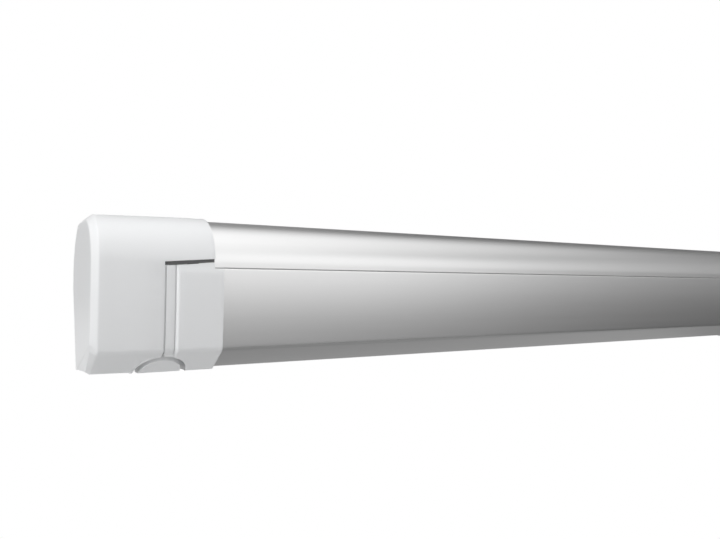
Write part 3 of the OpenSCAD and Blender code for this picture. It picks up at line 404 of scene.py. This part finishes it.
def rail_cap_shell():
    """Outside of a lead rail cap at the left. Along the awning it has the sunk strip, a thin groove and the
    slope up to the face; round the section it has the leaning band, the front and the bevel."""
    strip = -RAIL_CAP_X + STRIP_W
    groove = [(strip + past, STRIP_D + under) for past, under in STRIP_GROOVE]
    corners = [(-RAIL_CAP_X, STRIP_D), *groove, (strip + SLOPE_W, 0.0), (strip + FACE_FIRST, 0.0)]
    contour = softened_path(corners, [GROOVE_SOFT] * len(groove) + [SLOPE_SOFT], 5)
    rest = np.concatenate([line(strip + FACE_SECOND, -HOOD_X, 4), line(-HOOD_X, -RAIL_CAP_IN_X, 3)[1:]])
    stations = np.concatenate([contour, np.column_stack([rest, 0 * rest])])
    rows = []
    for x, inset in stations:
        height = line(hood_edge(x) - CAP_GAP, RAIL_TOP_Z, BAND_POINTS)
        section = joined(np.column_stack([front_at(height, inset), height]),
                         lower_path(inset, RAIL_TOP_Z, LIP_Y))
        high = section[:, 1] > RAIL_TOP_Z - 2 * BAND_H
        section[high, 0] = np.maximum(section[high, 0], band_at(section[high, 1]))
        rows.append(carried(section, [x])[0])
    grid = np.stack(rows)
    upper = np.arange(grid.shape[1] - 1) < BAND_POINTS - 1
    under_hood = (stations[1:, 0] + stations[:-1, 0]) / 2 < -HOOD_X
    return grid, grid_faces(*grid.shape[:2], keep=under_hood[:, None] | ~upper).tolist()


def gap_lips():
    """Thin lip of the left end cap behind the upright gap beside the lead rail cap. It follows the front."""
    x, z = np.meshgrid(line(-CAP_X - LIP_UNDER, -CAP_X + LIP_PAST, 3), line(BEVEL_Z, HOOD_EDGE_Z, 33),
                       indexing="ij")
    return [(np.stack([x, front_at(z, LIP_IN), z], -1), grid_faces(*x.shape).tolist())]


def gap_shade_strip():
    """Dark rubber strip inside the hood's lower edge at the left, which closes the gap over the lead rail
    cap: a band that hangs below the edge and follows the front. It stands in for the shade in the gap:
    painted shade."""
    x, up = np.meshgrid(line(-CAP_X + SHADE_STRIP_START, -HOOD_X - SHADE_STRIP_END, 13), line(-SHADE_STRIP_DROP, SHADE_STRIP_H, 5),
                        indexing="ij")
    z = hood_edge(x) + up
    return [(np.stack([x, front_at(z, SHADE_STRIP_IN), z], -1), grid_faces(*x.shape).tolist())]


def housing_sections():
    """Section of the housing: hood from the seam over the top, rear web with the hook and the rib that hold
    the wall brackets, floor, and back inside; and its three screw channels, which are round bars."""
    inset, wall = CAP_PROUD, HOUSING_WALL
    rear, floor_y = -6.0, -35.2
    hook_z, hook_h, hook_y, hook_t, arm_t, rib_z, rib_y = 38.4, 8.0, -3.3, 1.0, 2.0, -42.0, -3.0
    seam_soft, hood_from = 0.6, HOOD_Z + 0.5
    bar_in, bar_r, bar_z = 3.4, 4.0, 2.0
    low, high = BOTTOM_Z + inset, TOP_Z - inset
    seam = np.array([[front_at(np.array(SEAM_Z), inset), SEAM_Z]])
    hood = upper_path(inset, hood_from, rear)[::-1]
    front_z, inner_z = line(SEAM_Z + seam_soft, HOOD_Z, 5), line(HOOD_Z, SEAM_Z, 5)
    front = np.column_stack([front_at(front_z, inset), front_z])
    rear_web = np.array([(rear, hook_z + hook_h), (hook_y, hook_z + hook_h), (hook_y, hook_z),
                         (hook_y - hook_t, hook_z), (hook_y - hook_t, hook_z + hook_h - arm_t),
                         (rear, hook_z + hook_h - arm_t), (rear, rib_z + arm_t), (rib_y, rib_z + arm_t),
                         (rib_y, rib_z), (rear, rib_z), (rear, low), (floor_y, low), (floor_y, low + wall),
                         (rear - wall, low + wall), (rear - wall, high - wall)])
    inner_hood = upper_path(inset + wall, hood_from, rear - wall)[1:]
    inner_front = np.column_stack([front_at(inner_z, inset + wall), inner_z])
    skin = np.concatenate([seam + [seam_soft, 0], front, hood, rear_web, inner_hood, inner_front])
    slant = (HOOD_R - inset - wall - bar_in) * np.sqrt(0.5)
    centres = [(rear - wall - bar_in, high - wall - bar_in), (rear - wall - bar_in, bar_z),
               (HOOD_Y - slant, HOOD_Z + slant)]
    return [skin] + [arc(c, bar_r, 0, 2 * np.pi, 33)[:-1] for c in centres]


def rail_section():
    """Section of the lead rail: top flange, front, bevel, lip, roof over the leg lanes, and the groove that
    holds the welt on a web behind the front wall."""
    inset, wall = CAP_PROUD, RAIL_WALL
    outside = lower_path(inset, RAIL_TOP_Z - RAIL_TRIM, LIP_Y, RAIL_BEVEL_DROP, RAIL_SOFT)[4:]
    roof_end, lip_z = rail_high[1], CHANNEL_Z - CHANNEL_LIP
    edge_y, edge_z = outside[0, 0], SEAM_Z - SEAM_GAP
    flange = softened((edge_y + FLANGE_D, edge_z), (edge_y, edge_z), (edge_y, CHANNEL_Z), FLANGE_SOFT, 5)
    channel = np.array([(LIP_Y, CHANNEL_Z), (roof_end - wall, CHANNEL_Z), (roof_end - wall, lip_z),
                        (roof_end, lip_z), (roof_end, CHANNEL_Z + wall)])

    def behind(z):
        return front_at(np.array(z), inset + wall).item(), z

    radius = GROOVE_R + GROOVE_WALL
    half = np.arcsin(MOUTH_W / 2 / radius)
    inner_half = np.arcsin(MOUTH_W / 2 / GROOVE_R)
    web = np.pi - np.arcsin(HALF_WEB / radius)
    lower_lobe = arc(WELT, radius, -web, PITCH - half, 17)
    upper_lobe = arc(WELT, radius, PITCH + half, web, 17)
    hollow = arc(WELT, GROOVE_R, PITCH - inner_half, PITCH + inner_half - 2 * np.pi, 25)
    below = [behind(CHANNEL_Z + wall), behind(WELT[1] - HALF_WEB)]
    above = [behind(WELT[1] + HALF_WEB), behind(RAIL_TOP_Z - wall), (FRONT_Y + FLANGE_D, RAIL_TOP_Z - wall)]
    start = [(FRONT_Y + FLANGE_D, edge_z)]
    return np.concatenate([start, flange, outside, channel, below, lower_lobe, hollow, upper_lobe, above])


def cloth(section, places):
    """An open section carried along X, as one sheet without thickness."""
    grid = carried(section, places)
    return grid, grid_faces(*grid.shape[:2]).tolist()


def spiral_sheet(places):
    """Cloth on the roller: a spiral whose radius grows by one step a turn, carried along the roller. It
    ends where the cloth leaves the roller at the slope of the canopy."""
    turn = np.linspace(FIRST_TURN, TURNS, 297)
    angle = PITCH - np.pi / 2 + 2 * np.pi * (TURNS - turn)
    radius = ROLL_R - CLOTH_T / 2 + TURN_STEP * turn
    section = np.column_stack([ROLLER_Y + radius * np.cos(angle), ROLLER_Z + radius * np.sin(angle)])
    length = np.hypot(*np.diff(section, axis=0).T).sum()
    return cloth(section, places), length


def span_sheet(places):
    """Cloth between the roller and the lead rail: a straight strip along the slope of the canopy, which laps
    a little into the groove."""
    length = FREE_L - MOUTH_REACH + SPAN_LAP
    section = LEAVE + np.linspace(0, length, 33)[:, None] * OUT
    return cloth(section, places), length


def welt_section():
    """Section of the welt: a round cord in a sleeve whose two layers run on towards the roller."""
    half = np.arcsin(CLOTH_T / 2 / WELT_R)
    cord = arc(WELT, WELT_R, PITCH + half, PITCH + 2 * np.pi - half, 41)
    tail = WELT - MOUTH_REACH * OUT
    return np.concatenate([cord, [tail - CLOTH_T / 2 * UP, tail + CLOTH_T / 2 * UP]])


class Value:
    """A shader socket under Python operators. Each operator adds one Math node."""

    def __init__(self, tree, socket):
        self.tree, self.socket = tree, socket

    def math(self, operation, *inputs, clamp=False):
        return self.tree.node("Math", {"operation": operation, "use_clamp": clamp}, dict(enumerate(inputs)))

    def __add__(self, other):
        return self.math("ADD", self, other)

    def __sub__(self, other):
        return self.math("SUBTRACT", self, other)

    def __rsub__(self, other):
        return self.math("SUBTRACT", other, self)

    def __mul__(self, other):
        return self.math("MULTIPLY", self, other)

    __radd__, __rmul__ = __add__, __mul__

    def clamped(self):
        return self.math("ADD", self, 0.0, clamp=True)


class Shade:
    """A node tree under construction, of a material or of the world."""

    def __init__(self, owner):
        owner.use_nodes = True
        self.tree = owner.node_tree

    def node(self, kind, settings=None, inputs=None, output=0):
        """Adds a shader node: its settings first, then the values or links of its sockets."""
        made = self.tree.nodes.new("ShaderNode" + kind)
        for name, value in (settings or {}).items():
            setattr(made, name, value)
        for name, value in (inputs or {}).items():
            self.plug(made.inputs[name], value)
        return Value(self, made.outputs[output])

    def plug(self, socket, value):
        if isinstance(value, Value):
            self.tree.links.new(value.socket, socket)
        else:
            socket.default_value = value

    def coords(self, scale=(1, 1, 1)):
        """Object coordinates, which are the frame's own, times a scale along each axis."""
        point = self.node("TexCoord", output="Object")
        return self.node("Mapping", None, {"Vector": point, "Scale": scale})

    def noise(self, scale, detail=2.0, stretch=(1, 1, 1)):
        return self.node("TexNoise", None, {"Vector": self.coords(stretch), "Scale": scale, "Detail": detail})

    def mix(self, factor, first, second):
        return self.node("Mix", {"data_type": "RGBA"}, {0: factor, 6: first, 7: second}, output=2)

    def bump(self, height, strength, distance):
        return self.node("Bump", None, {"Height": height, "Strength": strength, "Distance": distance})


def grey(level, warm=0.0):
    """A linear grey, a little warmer or cooler than neutral."""
    return (level * (1 + warm), level, level * (1 - warm), 1.0)


def finish(name, constants, varied):
    """A material: constants on the shader's sockets, and what varied(shade) gives for the others."""
    material = bpy.data.materials.new(name)
    shade = Shade(material)
    shader = shade.tree.nodes["Principled BSDF"]
    for socket, value in {**constants, **varied(shade)}.items():
        shade.plug(shader.inputs[socket], value)
    return material


def moulded(light, dark, gloss, peel):
    """Moulded plastic: faint flow marks in the tone, an orange-peel skin, and gloss that varies a little."""

    def varied(shade):
        flow = shade.noise(7.0, 3.0, (1, 2, 2))
        rub = shade.noise(30.0, 2.0)
        skin = shade.noise(240.0, 1.0)
        return {"Base Color": shade.mix(flow, light, dark), "Roughness": rub * 0.03 + (gloss - 0.015),
                "Normal": shade.bump(skin, peel, 0.00005)}

    return varied


def anodised(tone):
    """Satin anodised aluminium: die lines and fine brushing along the profile, with a slight cloud."""

    def varied(shade):
        lines = shade.noise(1.0, 3.0, (1.2, 900, 900))
        brushing = shade.noise(1.0, 2.0, (9, 3200, 3200))
        cloud = shade.noise(3.0, 3.0)
        grain = lines * 0.6 + brushing * 0.4
        return {"Base Color": shade.mix(grain * 0.6 + cloud * 0.4, grey(tone * 0.95), grey(tone * 1.04)),
                "Roughness": grain * 0.12 + 0.29,
                "Normal": shade.bump(grain, 0.12, 0.00002)}

    return varied


def cast(tone):
    """Pressure-cast alloy: a grainy skin with soft darker flow patches."""

    def varied(shade):
        grain = shade.noise(900.0, 3.0)
        flow = shade.noise(28.0, 4.0)
        return {"Base Color": shade.mix(flow, grey(tone * 0.82), grey(tone * 1.08)),
                "Roughness": flow * 0.2 + 0.36, "Normal": shade.bump(grain, 0.35, 0.00006)}

    return varied


def powder(tone):
    """Powder coat: an even colour with the fine ripple of a baked coating."""

    def varied(shade):
        ripple = shade.noise(420.0, 2.0)
        cloud = shade.noise(9.0, 2.0)
        return {"Base Color": shade.mix(cloud, grey(tone * 0.97), grey(tone)),
                "Roughness": ripple * 0.12 + 0.34, "Normal": shade.bump(ripple, 0.12, 0.00005)}

    return varied


def zinc(tone):
    """Zinc-plated steel: small crystals of slightly different tone, and a faintly milky gloss."""

    def varied(shade):
        crystal = shade.node("TexVoronoi", None, {"Vector": shade.coords(), "Scale": 260.0}, output="Color")
        spread = shade.node("SeparateColor", None, {"Color": crystal})
        milk = shade.noise(90.0, 4.0)
        mixed = spread * 0.5 + milk * 0.5
        return {"Base Color": shade.mix(mixed, grey(tone * 0.86, -0.02), grey(tone * 1.06, -0.01)),
                "Roughness": milk * 0.18 + 0.29, "Normal": shade.bump(milk, 0.06, 0.00003)}

    return varied


def woven(light, dark):
    """Coated canopy cloth: warp threads and a slow change of tone across its width. Nothing varies along
    the way it rolls out, because the cloth there is drawn out of the roll."""

    def varied(shade):
        thread = shade.node("TexWave", {"bands_direction": "X"}, {"Vector": shade.coords(), "Scale": 260.0})
        slub = shade.noise(1.0, 3.0, (140, 0, 0))
        tone = thread * 0.35 + slub * 0.65
        return {"Base Color": shade.mix(tone, dark, light), "Roughness": slub * 0.15 + 0.62,
                "Normal": shade.bump(thread, 0.25, 0.0001)}

    return varied


PLASTIC, CLOTH, METAL = {"IOR": 1.5}, {"IOR": 1.45}, {"Metallic": 1.0}
COOL = -0.010
WHITE, WHITE_FLOW = grey(0.80, COOL), grey(0.793, COOL)
FINISHES = {
    "white_plastic": finish("moulded_white", PLASTIC, moulded(WHITE, WHITE_FLOW, 0.31, 0.006)),
    "anodised": finish("satin_anodised", METAL, anodised(0.72)),
    "white_arm": finish("arm_powder_coat", PLASTIC, powder(0.78)),
    "casting": finish("cast_alloy", METAL, cast(0.55)),
    "steel": finish("zinc_steel", METAL, zinc(0.62)),
    "black_plastic": finish("black_moulding", PLASTIC, moulded(grey(0.022), grey(0.030), 0.42, 0.12)),
    # Rubber for the rubber parts. Its tone is also set so the strip in the gap under the hood stands in for
    # the shade there: painted shade
    "rubber": finish("rubber_and_gap_shade", PLASTIC, moulded(grey(0.125), grey(0.15), 0.72, 0.2)),
    "cloth": finish("canopy_cloth", CLOTH, woven(grey(0.46, 2 * COOL), grey(0.34, 2 * COOL))),
}


def finished(piece, *modifiers):
    """Adds modifiers, each a type with its settings, and makes their result the piece's own mesh."""
    for kind, settings in modifiers:
        modifier = piece.modifiers.new(kind.lower(), kind)
        for name, value in settings.items():
            setattr(modifier, name, value)
    sharp = bpy.data.meshes.new_from_object(piece.evaluated_get(bpy.context.evaluated_depsgraph_get()))
    piece.modifiers.clear()
    piece.data = sharp
    sharp.shade_smooth()
    sharp.set_sharp_from_angle(angle=np.radians(SMOOTH_ANGLE))
    return piece


def wall(thickness):
    """Solidify inwards by a thickness in millimetres."""
    return "SOLIDIFY", {"thickness": thickness * MM, "offset": -1.0, "use_even_offset": True}


def soft_edges(width, angle=35):
    """Rounded edges of a width in millimetres, where faces meet at more than an angle in degrees."""
    return "BEVEL", {"width": width * MM, "segments": 3, "limit_method": "ANGLE",
                     "angle_limit": np.radians(angle)}


def cut_by(cutter):
    """Takes away what lies inside the cutter."""
    return "BOOLEAN", {"operation": "DIFFERENCE", "object": cutter, "solver": "EXACT", "use_self": True}


def mirrored(parts):
    """The same parts at the right end."""
    return [(np.asarray(points) * [-1, 1, 1], faces) for points, faces in parts]


def put(piece, body, slot, *nodes):
    """A piece rides on its body and stands for CAD nodes. The slot is not used."""
    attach(piece, body)
    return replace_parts(piece, *nodes)


def recess_cutter():
    """Tool for the recess around the boss: the boss's outline, wider all round, as an upright prism."""
    ring = stadium(BOSS_R + BOSS_GAP)
    grid = np.stack([np.column_stack([ring, np.full(len(ring), z)]) for z in (TOOL_Z, RECESS_TOP_Z)])
    count = len(ring)
    ends = [list(range(count)), list(range(count, 2 * count))]
    tool = make_piece("recess_tool", [(grid, grid_faces(2, count, closed=True).tolist() + ends)], None)
    tool.hide_render = True
    return tool


def beside_boss(x, y):
    """True on the end cap's share of the recess collar."""
    return (x < -CAP_X) | (y > FLOOR_SPLIT_Y)


def under_rail(x, y):
    """True on the lead rail cap's share of the recess collar."""
    return (x > -RAIL_CAP_X) & (y < LIP_Y + COLLAR_TAIL)


# White caps at both ends: shells with a wall and soft edges, and at the left the recess for the boss
CAPS = (("end_cap", cap_shell(), "cassette", beside_boss), ("rail_cap", rail_cap_shell(), "rail", under_rail))
# The second strip is a dark rubber band that stands in for the shade in the gap under the hood: painted shade
STRIPS = (("gap_lips_", gap_lips(), "white_plastic"), ("gap_shade_strip_", gap_shade_strip(), "rubber"))
CAP_SOFT = 0.45
recess_tool = recess_cutter()
bpy.context.view_layer.update()
for side in SIDES:
    boss_side = side == "left"
    for name, shell, body, share in CAPS:
        parts = [shell] if boss_side else mirrored([shell])
        cap = make_piece(name + "_shell_" + side, parts, FINISHES["white_plastic"])
        recess = [cut_by(recess_tool)] if boss_side else []
        finished(cap, wall(CAP_WALL), *recess, soft_edges(CAP_SOFT))
        put(cap, body, "white_plastic", name + "_" + side)
        for strip, made, slot in STRIPS if name == "end_cap" else ():
            parts = made if boss_side else mirrored(made)
            piece = finished(make_piece(strip + side, parts, FINISHES[slot]), wall(LIP_T))
            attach(piece, body)
        if boss_side:
            collar = make_piece(name + "_collar", [recess_collar(share)], FINISHES["white_plastic"])
            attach(collar, body)
bpy.data.objects.remove(recess_tool)

# Aluminium profiles
LENGTH_STEPS = 25
profile = make_piece("housing_profile",
                     [extrusion(s, line(-HOUSING_X, HOUSING_X, LENGTH_STEPS)) for s in housing_sections()],
                     FINISHES["anodised"])
put(profile, "cassette", "anodised", "cassette_housing")
rail = make_piece("lead_rail_profile", [extrusion(rail_section(), line(-RAIL_X, RAIL_X, LENGTH_STEPS))],
                  FINISHES["anodised"])
put(rail, "rail", "anodised", "lead_rail")

# Canopy: the roll on the roller, the free strip to the lead rail, and the welt in its groove
cloth_places = line(-CLOTH_X, CLOTH_X, LENGTH_STEPS)
weave = "SOLIDIFY", {"thickness": CLOTH_T * MM, "offset": 0.0}
roll_part, roll_length = spiral_sheet(cloth_places)
roll = finished(make_piece("canopy_cloth_roll", [roll_part], FINISHES["cloth"]), weave)
put(roll, "roller", "cloth", "canopy_roll")
roll_length * MM
span_part, span_length = span_sheet(cloth_places)
span = finished(make_piece("canopy_cloth_span", [span_part], FINISHES["cloth"]), weave)
welt = make_piece("canopy_cloth_welt", [extrusion(welt_section(), cloth_places)], FINISHES["cloth"])
put(welt, "rail", "cloth", "canopy_welt")
span_ends = [(0.0, *(p * MM)) for p in (LEAVE, LEAVE + span_length * OUT)]
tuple(span_ends[0])
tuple(span_ends[1])
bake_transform(span)
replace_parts(span, "canopy_span")
span_length * MM


def shading_group():
    """Modifier for CAD nodes: their loose triangles are merged and shaded smooth, except at edges."""
    group = bpy.data.node_groups.new("smooth_faces", "GeometryNodeTree")
    for way in ("INPUT", "OUTPUT"):
        group.interface.new_socket("Geometry", in_out=way, socket_type="NodeSocketGeometry")
    add = group.nodes.new
    start, end = add("NodeGroupInput"), add("NodeGroupOutput")
    merge = add("GeometryNodeMergeByDistance")
    faces, edges = add("GeometryNodeSetShadeSmooth"), add("GeometryNodeSetShadeSmooth")
    angle, compare = add("GeometryNodeInputMeshEdgeAngle"), add("FunctionNodeCompare")
    merge.inputs["Distance"].default_value = CAD_MERGE
    faces.domain, edges.domain = "FACE", "EDGE"
    edges.inputs["Shade Smooth"].default_value = False
    compare.operation = "GREATER_THAN"
    compare.inputs["B"].default_value = np.radians(SMOOTH_ANGLE)
    join = group.links.new
    join(start.outputs[0], merge.inputs["Geometry"])
    join(merge.outputs[0], faces.inputs["Geometry"])
    join(faces.outputs[0], edges.inputs["Geometry"])
    join(angle.outputs["Unsigned Angle"], compare.inputs["A"])
    join(compare.outputs[0], edges.inputs["Selection"])
    join(edges.outputs[0], end.inputs[0])
    return group


# CAD nodes that keep their shape get the finish of their slot in the record
smooth_faces = shading_group()
for row in frame["record"]["subparts"]:
    node = frame["nodes"][row["node"]]
    if not node.hide_render:
        node.data.materials.clear()
        node.data.materials.append(FINISHES[row["material_slot"]])
        node.modifiers.new("smooth_faces", "NODES").node_group = smooth_faces

# Stage: a pale floor that turns to plain white away from the object, and a white world
FLOOR_Z, FLOOR_INNER_R, FLOOR_R, FLOOR_RINGS, FLOOR_SIDES = -1.9, 0.05, 40.0, 24, 64
FLOOR_TONE, FLOOR_ROUGHNESS = 0.82, 0.9
FADE_START, FADE_END = 2.4, 3.6
AMBIENT, DARKEST_CARD = 0.45, 0.04


def seen_directly(shade):
    """1 for what the camera sees directly, in gloss or through glass, and 0 for light that spreads."""
    ray = {name: shade.node("LightPath", output=name) for name in
           ("Is Camera Ray", "Is Glossy Ray", "Is Transmission Ray")}
    return (ray["Is Camera Ray"] + ray["Is Glossy Ray"] + ray["Is Transmission Ray"]).clamped()


def make_floor():
    """A flat disc, clear from below: rings of growing radius round the origin. Its faces point down."""
    radius, angle = np.meshgrid(np.geomspace(FLOOR_INNER_R, FLOOR_R, FLOOR_RINGS),
                                np.linspace(0, 2 * np.pi, FLOOR_SIDES + 1)[:-1], indexing="ij")
    points = np.stack([radius * np.cos(angle), radius * np.sin(angle), np.full_like(radius, FLOOR_Z)], -1)
    faces = grid_faces(*radius.shape, closed=True).tolist() + [list(range(FLOOR_SIDES))]
    material = bpy.data.materials.new("pale_floor")
    shade = Shade(material)
    shader = shade.tree.nodes["Principled BSDF"]
    shade.plug(shader.inputs["Base Color"], grey(FLOOR_TONE))
    shade.plug(shader.inputs["Roughness"], FLOOR_ROUGHNESS)
    point = shade.node("TexCoord", output="Object")
    reach = shade.node("VectorMath", {"operation": "LENGTH"}, {0: point}, output="Value")
    fade = shade.node("MapRange", {"interpolation_type": "SMOOTHSTEP"},
                      {"Value": reach, "From Min": FADE_START, "From Max": FADE_END})
    glow = shade.node("Emission", None, {"Strength": 1.0})
    white = fade * seen_directly(shade)
    mixed = shade.node("MixShader", None, {0: white, 1: Value(shade, shader.outputs[0]), 2: glow})
    from_above = shade.node("NewGeometry", output="Backfacing")
    mixed = shade.node("MixShader", None, {0: from_above, 1: shade.node("BsdfTransparent"), 2: mixed})
    shade.plug(shade.tree.nodes["Material Output"].inputs["Surface"], mixed)
    floor = make_piece("floor", [(points / MM, faces)], material)


def make_world():
    """White where it is seen, and a plain grey level as light."""
    world = bpy.data.worlds.new("studio")
    bpy.context.scene.world = world
    shade = Shade(world)
    background = shade.tree.nodes["Background"]
    shade.plug(background.inputs["Color"], grey(1.0))
    shade.plug(background.inputs["Strength"], seen_directly(shade) * (1 - AMBIENT) + AMBIENT)


def soft_lamp(name, place, target, size, power):
    """A rectangular soft box that faces a target."""
    lamp = bpy.data.lights.new(name, "AREA")
    lamp.shape, lamp.size, lamp.size_y, lamp.energy = "RECTANGLE", size[0], size[1], power
    box = bpy.data.objects.new(name, lamp)
    bpy.context.scene.collection.objects.link(box)
    aim = (Vector(target) - Vector(place)).to_track_quat("-Z", "Y").to_matrix().to_4x4()
    box.matrix_world = Matrix.Translation(place) @ aim


def reflector_card(name, corner, along, up, levels, steps=25):
    """A flat studio card that only gloss sees: a grid from a corner along two edges. Its levels of grey run
    evenly from corner to corner: first corner, end of the first edge, end of the second one, far corner."""
    corner, along, up = (np.asarray(v, float) for v in (corner, along, up))
    first, second = np.meshgrid(np.linspace(0, 1, steps), np.linspace(0, 1, 3), indexing="ij")
    points = corner + first[..., None] * along + second[..., None] * up
    material = bpy.data.materials.new(name)
    shade = Shade(material)
    point = shade.node("TexCoord", output="Object")
    shares = []
    for edge in (along, up):
        scaled = edge / np.dot(edge, edge)
        place = shade.node("VectorMath", {"operation": "DOT_PRODUCT"}, {0: point, 1: scaled}, output="Value")
        shares.append((place - np.dot(corner, scaled)).clamped())
    near, far = (shares[0] * (b - a) + a for a, b in (levels[:2], levels[2:]))
    level = near + shares[1] * (far - near)
    glow = shade.node("Emission", None, {"Strength": level.math("MAXIMUM", level, DARKEST_CARD)})
    shade.plug(shade.tree.nodes["Material Output"].inputs["Surface"], glow)
    card = make_piece(name, [(points / MM, grid_faces(steps, 3).tolist())], material)
    card.visible_camera = card.visible_diffuse = card.visible_shadow = card.visible_transmission = False


def make_camera(place, yaw, pitch, roll, focal_px, width_px):
    """The photograph's camera: its place in millimetres, its heading from +Y towards +X, tilt and roll in
    degrees, and its focal length against the picture's width, both in pixels."""
    yaw, pitch, roll = np.radians([yaw, pitch, roll])
    ahead = np.array([np.sin(yaw) * np.cos(pitch), np.cos(yaw) * np.cos(pitch), np.sin(pitch)])
    level = np.array([np.cos(yaw), -np.sin(yaw), 0])
    above = np.cross(level, ahead)
    right = level * np.cos(roll) + above * np.sin(roll)
    up = above * np.cos(roll) - level * np.sin(roll)
    data = bpy.data.cameras.new("photo_camera")
    data.sensor_width = 36.0
    data.lens = data.sensor_width * focal_px / width_px
    data.clip_start, data.clip_end = 0.01, 200.0
    camera = bpy.data.objects.new("photo_camera", data)
    bpy.context.scene.collection.objects.link(camera)
    turn = Matrix([list(axis) for axis in np.column_stack([right, up, -ahead])]).to_4x4()
    camera.matrix_world = Matrix.Translation(np.array(place) * MM) @ turn
    bpy.context.scene.camera = camera


make_floor()
make_world()
# Lamps: place, target and size in metres, and power in watts
for lamp in (
        ("key", (-1.9, -1.05, 3.15), (-0.8, 0, 0), (1.8, 1.8), 70),
        ("side", (-3.6, -1.2, 0.5), (-0.96, 0, 0), (1.2, 1.2), 26),
        ("front_box", (0.9, -4.4, 1.0), (-0.6, 0, 0), (4.0, 2.6), 16),
        ("rear", (0.5, 3.2, -0.6), (0, 0, 0), (2.0, 2.0), 40)):
    soft_lamp(*lamp)
# Cards: corner and both edges in metres, and the levels of the four corners
for card in (
        ("right_card", (3.5, -5.2, -0.05), (0, 5.2, 0), (0, 0, 2.65), (1.25, -0.25, 1.0, 0.25)),
        ("right_back_card", (3.5, 0, -0.05), (0, 1.4, 0), (0, 0, 2.65), (-0.25, -0.25, 0.25, -0.2)),
        ("right_low_card", (3.5, -5.2, -1.85), (0, 6.6, 0), (0, 0, 1.8), (0.15, 0.0, 0.2, -0.2)),
        ("low_card", (-4.0, -2.6, -1.85), (7.5, 0, 0), (0, 0, 1.62), (0.42, 0.06, 0.42, 0.06)),
        ("floor_card", (-4.0, -2.6, -1.86), (7.5, 0, 0), (0, 4.0, 0), (0.16, 0.40, 0.16, 0.40)),
        ("top_card", (-4.0, -4.0, 2.6), (4.5, 0, 0), (0, 4.2, 0), (1.4, 1.25, 1.4, 1.25)),
        ("top_right_card", (0.5, -4.0, 2.6), (3.0, 0, 0), (0, 4.2, 0), (1.3, 0.35, 1.3, 0.35)),
        ("top_back_card", (-4.0, 0.2, 2.6), (4.5, 0, 0), (0, 1.2, 0), (1.4, 1.15, 0.6, 0.4)),
        ("top_corner_card", (0.5, 0.2, 2.6), (3.0, 0, 0), (0, 1.2, 0), (1.15, 0.2, 0.3, -0.2)),
        ("back_card", (-4.0, 1.4, -0.06), (7.5, 0, 0), (0, 0, 2.66), (0.8, -0.35, 0.8, -0.35)),
        ("back_low_card", (-4.0, 1.4, -1.86), (7.5, 0, 0), (0, 0, 1.8), (0.75, 0.60, 0.75, 0.60))):
    reflector_card(*card)
make_camera(place=(-1037.84, -615.49, -1.77), yaw=31.269, pitch=2.283, roll=-0.161,
            focal_px=643.03, width_px=720)
bpy.context.scene.view_settings.view_transform = "Standard"
